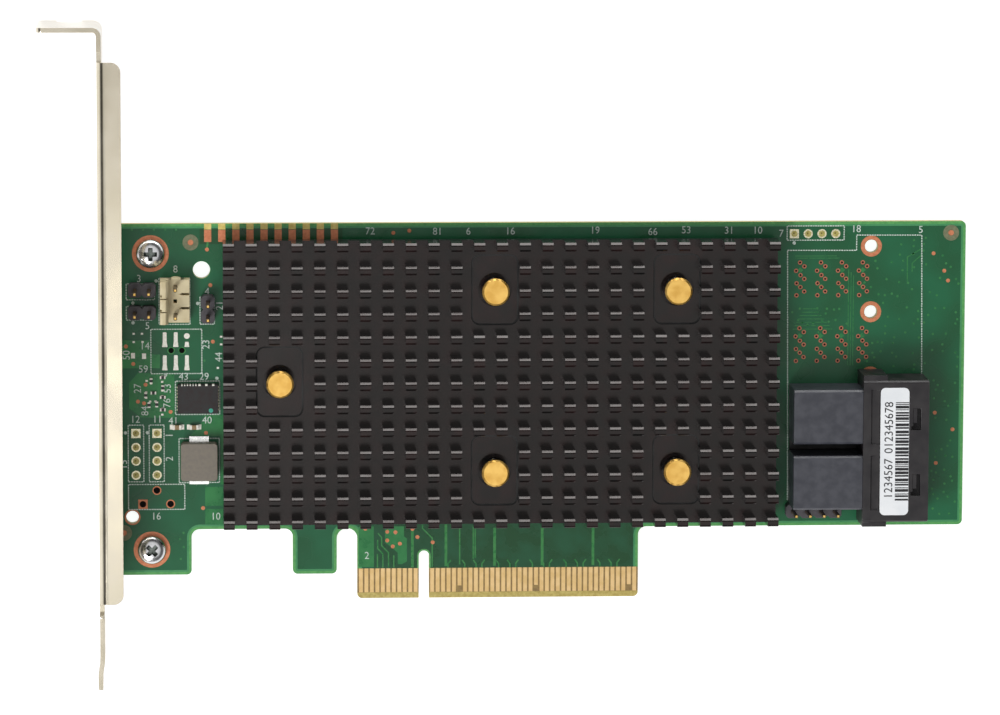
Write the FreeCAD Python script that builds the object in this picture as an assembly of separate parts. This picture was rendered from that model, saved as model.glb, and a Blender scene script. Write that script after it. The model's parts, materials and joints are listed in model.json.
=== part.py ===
import FreeCAD, Part
import math
import os

# Storage controller card with a card-edge connector, a folded bracket, a pin-fin heat sink and a
# two-port cable socket. All sizes are in millimetres.
#
# X runs along the board, from the bracket to the far end. Y runs up, from the edge connector to the
# board's long top edge. Z is the component side. The origin is the middle of the key notch, on the
# bottom edge of the connector, half way through the board's thickness.

# Small round pieces and holes that repeat, and the heads of screws and pins, are drawn with this
# many flat sides
SMALL_SIDES = 12
HEAD_SIDES = 24

# How far a cut runs past the face where it leaves, the least gap that counts as one, and how close
# below a whole number a count of pieces is taken as whole
PAST = 1.0
TOUCHING = 1e-6
NEARLY = 0.01

# Board outline
BOARD_THICKNESS = 1.57
BOARD_LEFT = -57.0
BOARD_END_MARGIN = 7.55
BOARD_HEIGHT = 68.9
BODY_EDGE = 13.0
CONNECTOR_LEFT = -12.15
CONNECTOR_RIGHT = 39.15
BRACKET_TAB_RIGHT = -42.3
HOOK_LEFT = -23.9
HOOK_RIGHT = -15.9
LOWER_TAB_EDGE = 4.65
INNER_RADIUS = 1.45
OUTER_RADIUS = 0.9
KEY_WIDTH = 1.9
KEY_HEIGHT = 8.8
BEVEL_HEIGHT = 1.1
BEVEL_DEPTH = 0.4
TOOLING_HOLE = (-40.3, 60.5)
TOOLING_DIAMETER = 3.1
LOCATING_HOLE = (-53.0, 15.3)
LOCATING_DIAMETER = 2.3

# Gold contacts on both faces of the edge connector
CONTACT_PITCH = 1.0
CONTACT_WIDTH = 0.7
CONTACT_THICKNESS = 0.05
CONTACT_FOOT = 1.15
CONTACT_TOP = 5.55
SHORT_CONTACT_FOOT = 2.3
FIRST_CONTACT = 1.5
CONTACTS_LEFT = 11
CONTACTS_RIGHT = 38
SHORT_FRONT_CONTACTS = (6, 20, 37)

# Bracket, folded from one steel sheet
SHEET = 0.86
BRACKET_WIDTH = 18.42
BRACKET_HEIGHT = 120.02
TONGUE_END = -14.62
PLATE_FACE = -58.85
NEAR_EDGE = 15.2
TOP_TAB_LENGTH = 11.43
BEND_RADIUS = 0.75
NOTCH_WIDTH = 4.42
NOTCH_DEPTH = 4.0
NOTCH_OFFSET = 5.08
TAB_CORNER = 1.0
FLANGE_WIDTH = 4.3
FLANGE_FOOT_GAP = 2.5
FLANGE_HEAD_GAP = 6.2
FLANGE_CORNER = 1.8
RELIEF_LENGTH = 1.9
RELIEF_DEPTH = 2.2
BOARD_TAB_END = -45.6
BOARD_TAB_WIDTH = 8.4
TONGUE_WIDTH = 10.19
TONGUE_LENGTH = 13.82
JOG_START = 5.02
JOG_END = 2.82
JOG = 0.35
VENT_FLATS = 3.8
VENT_WEB = 1.3
VENT_COLUMNS = 2
VENT_MARGIN = 13.5

# Screws that hold the board to the bracket's tabs
SCREW_X = -49.5
SCREW_ROWS = (9.3, 63.5)
SCREW_SHANK = 2.9
SCREW_CLEARANCE = 0.3
THREAD_CLEARANCE = 0.03
HEAD_DIAMETER = 5.25
HEAD_HEIGHT = 1.7
HEAD_BEVEL = 0.6
COLLAR_DIAMETER = 4.5
COLLAR_HEIGHT = 0.8
SHANK_REACH = 0.1

# Heat sink: an extruded comb of fins, cut across into pins
SINK_LEFT = -36.5
SINK_LENGTH = 100.37
SINK_FOOT = 14.4
SINK_WIDTH = 51.83
SINK_LIFT = 2.3
SINK_BASE = 2.2
PIN_HEIGHT = 5.3
PIN_LENGTH = 1.97
PIN_THICKNESS = 1.55
COLUMN_PITCH = 4.1
ROW_PITCH = 4.19

# Push pins and their springs
CHIP_CENTRE = (29.1, 40.7)
PUSH_PIN_SPAN = 33.0
SIDE_PUSH_PIN = (-26.3, 40.6)
PUSH_HEAD_DIAMETER = 4.95
PUSH_HEAD_THICKNESS = 1.1
PUSH_HEAD_RISE = 4.0
PUSH_SHANK = 2.8
PUSH_CLEARANCE = 0.3
BARB_DIAMETER = 3.7
BARB_TIP = 2.0
BARB_LENGTH = 2.35
BARB_SPLIT = 0.6
BARB_GAP = 0.05
SPRING_SEAT_DIAMETER = 6.1
SPRING_SEAT_FLOOR = 0.8
SPRING_OUTER = 4.5
SPRING_WALL = 0.5

# Controller under the heat sink
SUBSTRATE_SIDE = 27.0
SUBSTRATE_THICKNESS = 1.0
LID_SIDE = 23.0
LID_THICKNESS = 0.95
PAD_SIDE = 21.0

# Two-port cable socket
PEG_INSET = 2.25
PORT_MIDDLE = 28.25
PORT_PITCH = 12.04
SOCKET_SHIFT = -0.25
SOCKET_DEPTH = 11.95
SOCKET_HALF_LENGTH = 12.95
SOCKET_HEIGHT = 9.6
SOCKET_BEVEL = 0.4
PORT_WIDTH = 10.2
PORT_HEIGHT = 7.2
PORT_FLOOR = 1.2
EAR_LENGTH = 4.4
EAR_REACH = 0.9
EAR_DROP = 0.4
PEG_DIAMETER = 2.1
PEG_HOLE_DIAMETER = 2.35
PEG_REACH = 0.9
BLOCK_GAP = 2.73
BLOCK_LENGTH = 12.55
BLOCK_WIDTH = 9.9
BLOCK_HEIGHT = 9.3
BLOCK_FIT = 0.05
PLUG_DEPTH = 8.0
NOSE_LENGTH = 3.6
NOSE_WIDTH = 8.4
NOSE_HEIGHT = 5.4
CARD_SLOT_WIDTH = 7.4
CARD_SLOT_HEIGHT = 1.3
CARD_SLOT_PITCH = 2.7
CARD_SLOT_DEPTH = 3.0
LATCH_SLOT_LENGTH = 3.9
LATCH_SLOT_WIDTH = 1.35
LATCH_SLOT_INSET = 1.5
LATCH_SLOT_OFFSET = -0.4
LATCH_RELIEF = 0.35
WINDOW_WIDTH = 1.5
WINDOW_DEPTH = 0.35
WINDOW_INSET = 1.5
LABEL_WIDTH = 5.2
LABEL_LENGTH = 23.3
LABEL_THICKNESS = 0.12
LABEL_RADIUS = 0.9
LABEL_INSET = 3.1

# Pin headers
HEADER_PITCH = 2.54
HEADER_WIDTH = 2.5
HEADER_BODY = 2.54
HEADER_CORNER = 0.45
LEAD_SIDE = 0.64
LEAD_RISE = 8.5
LEAD_TAIL = 1.4
LED_HEADER_X = -51.08
LED_HEADER_ROWS = (57.03, 52.94)
JUMPER_HEADER = (-39.2, 53.55)
SERIAL_HEADER_GAP = 7.21
SERIAL_HEADER_ROW = 16.0

# Locking header
LOCK_HEADER = (-45.05, 55.2)
LOCK_LENGTH = 7.8
LOCK_SIDE_RIGHT = 2.6
LOCK_SIDE_LEFT = 1.7
LOCK_BODY = 3.2
LOCK_WALL_THICKNESS = 1.05
LOCK_WALL_HEIGHT = 6.6
LOCK_HOOK = 0.5
LOCK_RIB_RADIUS = 0.75
LOCK_SLIT_LENGTH = 1.9
LOCK_SLIT_WIDTH = 0.4
LOCK_SLIT_FLOOR = 1.0
LOCK_RIB_SHIFT = 0.1
LOCK_GROOVE_DEPTH = 0.35
LOCK_GROOVE_WIDTH = 0.3

# Power inductor
INDUCTOR_CENTRE = (-40.87, 25.7)
INDUCTOR_LENGTH = 6.65
INDUCTOR_WIDTH = 6.85
INDUCTOR_HEIGHT = 3.0
INDUCTOR_CORNER = 0.6
TERMINAL_WIDTH = 3.5
TERMINAL_THICKNESS = 0.2
TERMINAL_REACH = 0.95
TERMINAL_TUCK = 1.2
TERMINAL_LIP = 1.1

# Flat power-stage package
STAGE_CENTRE = (-41.05, 37.05)
STAGE_LENGTH = 7.4
STAGE_WIDTH = 5.3
STAGE_HEIGHT = 1.2

# Small chip parts: length along X, width along Y
CAPACITOR_SIZE = (1.6, 0.8, 0.8)
CAPACITOR_PLACES = ((-44.85, 31.8), (-41.75, 31.8))
CHIP_SIZE = (1.0, 0.5, 0.4)
CHIPS_ALONG_X = ((-47.4, 40.9), (-47.4, 37.3), (-47.4, 35.0), (-49.1, 38.1))
CHIPS_ALONG_Y = ((-50.5, 37.7), (-47.4, 39.0), (-49.9, 35.9), (-48.5, 36.0), (-49.5, 40.3))
BACK_CAPACITOR_PITCH = 3.2
BACK_CAPACITOR_GRID = 4

# Planes worked out from the sizes above
BOARD_FRONT = BOARD_THICKNESS / 2
BOARD_BACK = -BOARD_THICKNESS / 2
PLATE_INNER = PLATE_FACE + SHEET
FAR_EDGE = NEAR_EDGE - BRACKET_WIDTH
BRACKET_TOP = TONGUE_END + BRACKET_HEIGHT
TOP_TAB_END = PLATE_INNER - TOP_TAB_LENGTH
TONGUE_SHOULDER = TONGUE_END + TONGUE_LENGTH
FLANGE_FOOT = TONGUE_SHOULDER + FLANGE_FOOT_GAP
FLANGE_HEAD = BRACKET_TOP - FLANGE_HEAD_GAP
SINK_RIGHT = SINK_LEFT + SINK_LENGTH
SINK_UNDERSIDE = BOARD_FRONT + SINK_LIFT
SINK_FLOOR = SINK_UNDERSIDE + SINK_BASE
SINK_TOP = SINK_FLOOR + PIN_HEIGHT
SERIAL_HEADER = (SINK_RIGHT + SERIAL_HEADER_GAP, SERIAL_HEADER_ROW)
BLOCK_REAR = SINK_RIGHT + BLOCK_GAP
SOCKET_REAR = BLOCK_REAR + BLOCK_LENGTH
SOCKET_FACE = SOCKET_REAR + SOCKET_DEPTH
BOARD_RIGHT = SOCKET_FACE + BOARD_END_MARGIN
PORT_MOUNT_X = SOCKET_REAR + PEG_INSET
SOCKET_TOP = BOARD_FRONT + SOCKET_HEIGHT
SOCKET_MIDDLE = PORT_MIDDLE + SOCKET_SHIFT
PORT_CENTRES = (PORT_MIDDLE - PORT_PITCH / 2, PORT_MIDDLE + PORT_PITCH / 2)
PORT_BOTTOM = BOARD_FRONT + PORT_FLOOR
PORT_CENTRE_Z = PORT_BOTTOM + PORT_HEIGHT / 2


def vec(x, y, z=0.0):
    return FreeCAD.Vector(x, y, z)


def box(x0, x1, y0, y1, z0, z1):
    return Part.makeBox(x1 - x0, y1 - y0, z1 - z0, vec(x0, y0, z0))


def rod(x, y, z0, z1, diameter):
    return Part.makeCylinder(diameter / 2, z1 - z0, vec(x, y, z0))


def ring_points(x, y, z, diameter, sides):
    points = []
    for i in range(sides):
        angle = 2 * math.pi * i / sides
        points.append(vec(x + diameter / 2 * math.cos(angle), y + diameter / 2 * math.sin(angle), z))
    return points


def taper(x, y, z0, diameter0, z1, diameter1, sides=SMALL_SIDES):
    """Many-sided rod whose width goes from one diameter at z0 to another at z1."""
    low = ring_points(x, y, z0, diameter0, sides)
    high = ring_points(x, y, z1, diameter1, sides)
    rings = [low, high]
    faces = [Part.Face(Part.makePolygon(ring + ring[:1])) for ring in rings]
    for i in range(sides):
        j = (i + 1) % sides
        faces.append(Part.Face(Part.makePolygon([low[i], low[j], high[j], high[i], low[i]])))
    solid = Part.Solid(Part.Shell(faces))
    if solid.Volume < 0:
        solid.reverse()
    return solid


def small_rod(x, y, z0, z1, diameter):
    return taper(x, y, z0, diameter, z1, diameter)


def square_rod(x, y, z0, z1, side):
    half = side / 2
    return box(x - half, x + half, y - half, y + half, z0, z1)


def cut_all(body, tools):
    return body.cut(Part.makeCompound(tools))


def fuse_all(shapes):
    return shapes[0].multiFuse(shapes[1:]).removeSplitter()


def rounded_face(corners):
    """Flat face in the XY plane from (x, y, radius) corners, each radius as a tangent arc."""
    count = len(corners)
    starts = []
    ends = []
    middles = []
    for i in range(count):
        here = vec(corners[i][0], corners[i][1])
        back = (vec(corners[i - 1][0], corners[i - 1][1]) - here).normalize()
        ahead = (vec(corners[(i + 1) % count][0], corners[(i + 1) % count][1]) - here).normalize()
        radius = corners[i][2]
        half = back.getAngle(ahead) / 2
        reach = radius / math.tan(half) if radius > 0 else 0.0
        starts.append(here + back * reach)
        ends.append(here + ahead * reach)
        if radius > 0:
            bisector = (back + ahead).normalize()
            middles.append(here + bisector * (radius / math.sin(half) - radius))
        else:
            middles.append(None)
    edges = []
    for i in range(count):
        if middles[i] is not None:
            edges.append(Part.Arc(starts[i], middles[i], ends[i]).toShape())
        following = starts[(i + 1) % count]
        if (following - ends[i]).Length > TOUCHING:
            edges.append(Part.LineSegment(ends[i], following).toShape())
    return Part.Face(Part.Wire(edges))


def slab(corners, z0, z1):
    """Prism standing on a rounded outline."""
    face = rounded_face(corners)
    face.translate(vec(0, 0, z0))
    return face.extrude(vec(0, 0, z1 - z0))


def rounded_plate(x0, x1, y0, y1, z0, z1, radius):
    return slab([(x0, y0, radius), (x1, y0, radius), (x1, y1, radius), (x0, y1, radius)], z0, z1)


def along_y(corners, y0, y1):
    """Prism along Y whose outline is given as (x, z, radius)."""
    face = rounded_face(corners)
    face.rotate(vec(0, 0, 0), vec(1, 0, 0), 90)
    face.translate(vec(0, y0, 0))
    return face.extrude(vec(0, y1 - y0, 0))


def along_x(corners, x0, x1):
    """Prism along X whose outline is given as (y, z, radius)."""
    face = rounded_face(corners)
    face.rotate(vec(0, 0, 0), vec(1, 1, 1), 120)
    face.translate(vec(x0, 0, 0))
    return face.extrude(vec(x1 - x0, 0, 0))


def push_pin_places():
    half = PUSH_PIN_SPAN / 2
    places = [(CHIP_CENTRE[0] + i * half, CHIP_CENTRE[1] + j * half) for i in (-1, 1) for j in (-1, 1)]
    places.append(SIDE_PUSH_PIN)
    return places


def header_places(centre, count, upright=False):
    first = -(count - 1) * HEADER_PITCH / 2
    if upright:
        return [(centre[0], centre[1] + first + i * HEADER_PITCH) for i in range(count)]
    return [(centre[0] + first + i * HEADER_PITCH, centre[1]) for i in range(count)]


def lock_lead_places():
    places = header_places(LOCK_HEADER, 3, upright=True)
    return [places[0], places[2]]


def all_lead_places():
    places = []
    for row in LED_HEADER_ROWS:
        places += header_places((LED_HEADER_X, row), 2)
    places += header_places(JUMPER_HEADER, 2, upright=True)
    places += header_places(SERIAL_HEADER, 4)
    places += lock_lead_places()
    return places


def peg_places():
    return [(PORT_MOUNT_X, PORT_MIDDLE + i * PORT_PITCH) for i in (-1, 0, 1)]


def spare_peg_places():
    return [(PORT_MOUNT_X, PORT_MIDDLE + i * PORT_PITCH) for i in (2, 3)]


def board_outline():
    slot_radius = (CONNECTOR_LEFT - HOOK_RIGHT) / 2
    key_radius = KEY_WIDTH / 2
    return [
        (BOARD_LEFT, LOWER_TAB_EDGE, OUTER_RADIUS),
        (BRACKET_TAB_RIGHT, LOWER_TAB_EDGE, OUTER_RADIUS),
        (BRACKET_TAB_RIGHT, BODY_EDGE, INNER_RADIUS),
        (HOOK_LEFT, BODY_EDGE, INNER_RADIUS),
        (HOOK_LEFT, LOWER_TAB_EDGE, OUTER_RADIUS),
        (HOOK_RIGHT, LOWER_TAB_EDGE, OUTER_RADIUS),
        (HOOK_RIGHT, BODY_EDGE, slot_radius),
        (CONNECTOR_LEFT, BODY_EDGE, slot_radius),
        (CONNECTOR_LEFT, 0, OUTER_RADIUS),
        (-key_radius, 0, 0),
        (-key_radius, KEY_HEIGHT, key_radius),
        (key_radius, KEY_HEIGHT, key_radius),
        (key_radius, 0, 0),
        (CONNECTOR_RIGHT, 0, OUTER_RADIUS),
        (CONNECTOR_RIGHT, BODY_EDGE, INNER_RADIUS),
        (BOARD_RIGHT, BODY_EDGE, OUTER_RADIUS),
        (BOARD_RIGHT, BOARD_HEIGHT, OUTER_RADIUS),
        (BOARD_LEFT, BOARD_HEIGHT, OUTER_RADIUS),
    ]


def edge_bevels():
    """Wedges that thin both faces of the connector where it enters its socket."""
    wedges = []
    for side in (-1, 1):
        face = side * BOARD_THICKNESS / 2
        corners = [(0, face, 0), (BEVEL_HEIGHT, face, 0), (0, face - side * BEVEL_DEPTH, 0)]
        wedges.append(along_x(corners, CONNECTOR_LEFT, CONNECTOR_RIGHT))
    return wedges


def circuit_board():
    board = slab(board_outline(), BOARD_BACK, BOARD_FRONT)
    low = BOARD_BACK - PAST
    high = BOARD_FRONT + PAST
    open_holes = [TOOLING_HOLE + (TOOLING_DIAMETER,), LOCATING_HOLE + (LOCATING_DIAMETER,)]
    open_holes += [place + (PEG_HOLE_DIAMETER,) for place in spare_peg_places()]
    filled_holes = [(SCREW_X, row, SCREW_SHANK + SCREW_CLEARANCE) for row in SCREW_ROWS]
    filled_holes += [place + (PEG_HOLE_DIAMETER,) for place in peg_places()]
    filled_holes += [place + (PUSH_SHANK + PUSH_CLEARANCE,) for place in push_pin_places()]
    cuts = [rod(x, y, low, high, size) for x, y, size in open_holes]
    cuts += [small_rod(x, y, low, high, size) for x, y, size in filled_holes]
    cuts += [square_rod(x, y, low, high, LEAD_SIDE) for x, y in all_lead_places()]
    return cut_all(board, cuts + edge_bevels())


def contact_columns():
    left = [-FIRST_CONTACT - i * CONTACT_PITCH for i in range(CONTACTS_LEFT)]
    right = [FIRST_CONTACT + i * CONTACT_PITCH for i in range(CONTACTS_RIGHT)]
    return left, right


def edge_contacts(z0, z1, short):
    left, right = contact_columns()
    strips = []
    for x in left:
        strips.append((x, CONTACT_FOOT))
    for i, x in enumerate(right):
        strips.append((x, SHORT_CONTACT_FOOT if i + 1 in short else CONTACT_FOOT))
    half = CONTACT_WIDTH / 2
    return Part.makeCompound([box(x - half, x + half, foot, CONTACT_TOP, z0, z1) for x, foot in strips])


def bracket_profile():
    """Side view of the folded sheet: top tab, plate and the tongue with its small jog."""
    outer_bend = BEND_RADIUS + SHEET
    under_tab = BRACKET_TOP - SHEET
    return [
        (TOP_TAB_END, under_tab, 0),
        (PLATE_FACE, under_tab, BEND_RADIUS),
        (PLATE_FACE, TONGUE_END + JOG_START, 0),
        (PLATE_FACE - JOG, TONGUE_END + JOG_END, 0),
        (PLATE_FACE - JOG, TONGUE_END, 0),
        (PLATE_INNER - JOG, TONGUE_END, 0),
        (PLATE_INNER - JOG, TONGUE_END + JOG_END, 0),
        (PLATE_INNER, TONGUE_END + JOG_START, 0),
        (PLATE_INNER, BRACKET_TOP, outer_bend),
        (TOP_TAB_END, BRACKET_TOP, 0),
    ]


def folded_lip(face, inward, end, y0, y1, corner):
    """Strip folded out of the plate towards the board; face is its outer plane."""
    outer_bend = BEND_RADIUS + SHEET
    root = face + inward * RELIEF_DEPTH
    inner = face + inward * SHEET
    corners = [
        (PLATE_FACE, root, 0),
        (PLATE_FACE, face, outer_bend),
        (end, face, 0),
        (end, inner, 0),
        (PLATE_INNER, inner, BEND_RADIUS),
        (PLATE_INNER, root, 0),
    ]
    strip = along_y(corners, y0, y1)
    low = min(face, root) - PAST
    high = max(face, root) + PAST
    start = PLATE_FACE - PAST
    ends = slab([(start, y0, 0), (end, y0, corner), (end, y1, corner), (start, y1, 0)],
                low, high)
    return strip.common(ends)


def relief_cut(face, inward, y0, y1):
    """Room in the plate's edge for a fold and for the notches at its two ends."""
    root = face + inward * RELIEF_DEPTH
    past = NEAR_EDGE + PAST if inward < 0 else FAR_EDGE - PAST
    fold = box(PLATE_FACE - PAST, PLATE_INNER + PAST, y0, y1, min(root, past), max(root, past))
    notches = [
        box(PLATE_FACE - PAST, PLATE_INNER + PAST, y, y + RELIEF_LENGTH, min(root, past), max(root, past))
        for y in (y0 - RELIEF_LENGTH, y1)
    ]
    return [fold] + notches


def vent_cells():
    """Honeycomb of six-sided holes in the plate, above the board's face and clear of the folds."""
    radius = VENT_FLATS / math.sqrt(3)
    step = VENT_FLATS + VENT_WEB
    row_step = step * math.sqrt(3) / 2
    low = FLANGE_FOOT + VENT_MARGIN
    high = FLANGE_HEAD - VENT_MARGIN
    rows = int((high - low) / row_step)
    middle_z = (BOARD_FRONT + NEAR_EDGE - RELIEF_DEPTH) / 2
    cells = []
    for row in range(rows):
        y = low + (row + 0.5) * row_step
        shift = step / 4 if row % 2 else -step / 4
        for column in range(VENT_COLUMNS):
            z = middle_z + (column - (VENT_COLUMNS - 1) / 2) * step + shift
            points = []
            for i in range(7):
                angle = math.radians(60 * i)
                corner = (y + radius * math.cos(angle), z + radius * math.sin(angle))
                points.append(vec(PLATE_FACE - PAST, *corner))
            cells.append(Part.Face(Part.makePolygon(points)).extrude(vec(SHEET + 2 * PAST, 0, 0)))
    return cells


def tongue_trims():
    """Material sheared off each side of the tongue, below the plate's shoulders."""
    centre = (NEAR_EDGE + FAR_EDGE) / 2
    trims = []
    for side in (-1, 1):
        inner = centre + side * TONGUE_WIDTH / 2
        outer = centre + side * (BRACKET_WIDTH / 2 + PAST)
        shoulder = box(PLATE_FACE - PAST, PLATE_INNER + PAST, TONGUE_END - PAST, TONGUE_SHOULDER,
                       min(inner, outer), max(inner, outer))
        trims.append(shoulder)
    return trims


def top_tab_trims():
    """Screw notch in the far edge of the top tab, and the tab's two rounded corners."""
    notch_x = PLATE_FACE - NOTCH_OFFSET
    notch = along_y([(notch_x - NOTCH_WIDTH / 2, FAR_EDGE - PAST, 0),
                     (notch_x + NOTCH_WIDTH / 2, FAR_EDGE - PAST, 0),
                     (notch_x + NOTCH_WIDTH / 2, FAR_EDGE + NOTCH_DEPTH, TAB_CORNER),
                     (notch_x - NOTCH_WIDTH / 2, FAR_EDGE + NOTCH_DEPTH, TAB_CORNER)],
                    BRACKET_TOP - 2 * SHEET, BRACKET_TOP + SHEET)
    outline = along_y([(TOP_TAB_END, FAR_EDGE, TAB_CORNER), (TOP_TAB_END + 3 * PAST, FAR_EDGE, 0),
                       (TOP_TAB_END + 3 * PAST, NEAR_EDGE, 0), (TOP_TAB_END, NEAR_EDGE, TAB_CORNER)],
                      BRACKET_TOP - 2 * SHEET, BRACKET_TOP + SHEET)
    blank = box(TOP_TAB_END - PAST, TOP_TAB_END + 3 * PAST, BRACKET_TOP - 2 * SHEET, BRACKET_TOP + SHEET,
                FAR_EDGE - PAST, NEAR_EDGE + PAST)
    return [notch, blank.cut(outline)]


def bracket():
    sheet = slab(bracket_profile(), FAR_EDGE, NEAR_EDGE)
    tab_face = BOARD_BACK - SHEET
    half = BOARD_TAB_WIDTH / 2
    trims = relief_cut(NEAR_EDGE, -1, FLANGE_FOOT, FLANGE_HEAD)
    for row in SCREW_ROWS:
        trims += relief_cut(tab_face, 1, row - half, row + half)
    sheet = cut_all(sheet, trims + tongue_trims() + top_tab_trims() + vent_cells())
    lips = [folded_lip(NEAR_EDGE, -1, PLATE_FACE + FLANGE_WIDTH, FLANGE_FOOT, FLANGE_HEAD, FLANGE_CORNER)]
    for row in SCREW_ROWS:
        lips.append(folded_lip(tab_face, 1, BOARD_TAB_END, row - half, row + half, FLANGE_CORNER))
        lips.append(small_rod(SCREW_X, row, tab_face - COLLAR_HEIGHT, BOARD_BACK, COLLAR_DIAMETER))
    folded = fuse_all([sheet] + lips)
    bores = [small_rod(SCREW_X, row, FAR_EDGE - PAST, BOARD_FRONT, SCREW_SHANK + THREAD_CLEARANCE)
             for row in SCREW_ROWS]
    return cut_all(folded, bores)


def bracket_screw(row):
    """Pan-head screw, its head on the component face and its shank ending past the tab's collar."""
    shank_end = BOARD_BACK - SHEET - COLLAR_HEIGHT - SHANK_REACH
    head_top = BOARD_FRONT + HEAD_HEIGHT
    rim = head_top - HEAD_BEVEL
    head = taper(SCREW_X, row, BOARD_FRONT, HEAD_DIAMETER, rim, HEAD_DIAMETER, HEAD_SIDES)
    crown = taper(SCREW_X, row, rim, HEAD_DIAMETER, head_top, HEAD_DIAMETER - 2 * HEAD_BEVEL, HEAD_SIDES)
    shank = small_rod(SCREW_X, row, shank_end, BOARD_FRONT, SCREW_SHANK)
    return fuse_all([head, crown, shank])


def evenly_spaced(start, length, pitch, size):
    """Low sides of as many pieces of one size as fit in a length, centred in it."""
    count = int((length - size) / pitch + NEARLY) + 1
    margin = (length - size - (count - 1) * pitch) / 2
    return [start + margin + i * pitch for i in range(count)]


def sink_rows():
    return evenly_spaced(SINK_FOOT, SINK_WIDTH, ROW_PITCH, PIN_THICKNESS)


def sink_columns():
    return evenly_spaced(SINK_LEFT, SINK_LENGTH, COLUMN_PITCH, PIN_LENGTH)


def channels(starts, size, low, high):
    """Gaps between one fin or pin and the next, and what is left over at both ends."""
    edges = [low] + [value for start in starts for value in (start, start + size)] + [high]
    return [(a, b) for a, b in zip(edges[::2], edges[1::2]) if b - a > TOUCHING]


def nearest(starts, size, place, count):
    """Span of the pieces, so many of them, whose middle lies nearest to a place."""
    spans = [(starts[i], starts[i + count - 1] + size) for i in range(len(starts) - count + 1)]
    return min(spans, key=lambda span: abs((span[0] + span[1]) / 2 - place))


def pocket(x, y):
    """Clearing round a push pin, where two columns by three rows of pins are milled off."""
    left, right = nearest(sink_columns(), PIN_LENGTH, x, 2)
    low, high = nearest(sink_rows(), PIN_THICKNESS, y, 3)
    beside = (COLUMN_PITCH - PIN_LENGTH) / 2
    beyond = (ROW_PITCH - PIN_THICKNESS) / 2
    return box(left - beside, right + beside, low - beyond, high + beyond, SINK_FLOOR, SINK_TOP + PAST)


def heat_sink():
    """Extruded comb of fins, sawn across into pins and cleared round the push pins."""
    head = SINK_FOOT + SINK_WIDTH
    block = box(SINK_LEFT, SINK_RIGHT, SINK_FOOT, head, SINK_UNDERSIDE, SINK_TOP)
    cuts = [box(SINK_LEFT - PAST, SINK_RIGHT + PAST, low, high, SINK_FLOOR, SINK_TOP + PAST)
            for low, high in channels(sink_rows(), PIN_THICKNESS, SINK_FOOT, head)]
    comb = cut_all(block, cuts)
    saws = [box(low, high, SINK_FOOT - PAST, head + PAST, SINK_FLOOR, SINK_TOP + PAST)
            for low, high in channels(sink_columns(), PIN_LENGTH, SINK_LEFT, SINK_RIGHT)]
    places = push_pin_places()
    pins = cut_all(comb, saws + [pocket(x, y) for x, y in places])
    seat = SINK_UNDERSIDE + SPRING_SEAT_FLOOR
    bores = [small_rod(x, y, seat, SINK_TOP, SPRING_SEAT_DIAMETER) for x, y in places]
    bores += [small_rod(x, y, SINK_UNDERSIDE - PAST, SINK_TOP, PUSH_SHANK + PUSH_CLEARANCE)
              for x, y in places]
    return cut_all(pins, bores).removeSplitter()


def push_pin(x, y):
    """Brass pin: round head, shank through sink and board, split barb behind the board."""
    head_top = SINK_FLOOR + PUSH_HEAD_RISE
    head_under = head_top - PUSH_HEAD_THICKNESS
    barb_under = BOARD_BACK - BARB_GAP
    barb_end = barb_under - BARB_LENGTH
    head = taper(x, y, head_under, PUSH_HEAD_DIAMETER, head_top, PUSH_HEAD_DIAMETER, HEAD_SIDES)
    shank = small_rod(x, y, barb_under, head_under, PUSH_SHANK)
    barb = taper(x, y, barb_end, BARB_TIP, barb_under, BARB_DIAMETER)
    half = BARB_SPLIT / 2
    split = box(x - BARB_DIAMETER, x + BARB_DIAMETER, y - half, y + half, barb_end - PAST, barb_under)
    return head.multiFuse([shank, barb]).cut(split)


def push_pin_spring(x, y):
    """Coil spring between the sink and a push pin's head, as the sleeve that its coils fill."""
    seat = SINK_UNDERSIDE + SPRING_SEAT_FLOOR
    under_head = SINK_FLOOR + PUSH_HEAD_RISE - PUSH_HEAD_THICKNESS
    sleeve = small_rod(x, y, seat, under_head, SPRING_OUTER)
    return sleeve.cut(small_rod(x, y, seat, under_head, SPRING_OUTER - 2 * SPRING_WALL))


def chip_square(side, z0, z1):
    return square_rod(CHIP_CENTRE[0], CHIP_CENTRE[1], z0, z1, side)


def controller_substrate():
    return chip_square(SUBSTRATE_SIDE, BOARD_FRONT, BOARD_FRONT + SUBSTRATE_THICKNESS)


def controller_lid():
    bottom = BOARD_FRONT + SUBSTRATE_THICKNESS
    return chip_square(LID_SIDE, bottom, bottom + LID_THICKNESS)


def thermal_pad():
    bottom = BOARD_FRONT + SUBSTRATE_THICKNESS + LID_THICKNESS
    return chip_square(PAD_SIDE, bottom, SINK_UNDERSIDE)


def socket_ears():
    """Full-height pilasters at both ends of the socket."""
    top = SOCKET_TOP - EAR_DROP
    ears = []
    for side in (-1, 1):
        wall = SOCKET_MIDDLE + side * SOCKET_HALF_LENGTH
        reach = wall + side * EAR_REACH
        inner = wall - side * SOCKET_BEVEL * 2
        ears.append(box(SOCKET_REAR, SOCKET_REAR + EAR_LENGTH, min(inner, reach), max(inner, reach),
                        BOARD_FRONT, top))
    return ears


def latch_slot(y):
    """Slot through the socket's roof where a plug's latch shows, wider at one end."""
    right = SOCKET_FACE - LATCH_SLOT_INSET
    left = right - LATCH_SLOT_WIDTH
    half = LATCH_SLOT_LENGTH / 2
    middle = y + LATCH_SLOT_OFFSET
    slot = box(left, right, middle - half, middle + half, PORT_CENTRE_Z, SOCKET_TOP + PAST)
    relief = box(left - LATCH_RELIEF, left, middle - half, middle - half + LATCH_SLOT_WIDTH / 2,
                 PORT_CENTRE_Z, SOCKET_TOP + PAST)
    return slot.fuse(relief)


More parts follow.
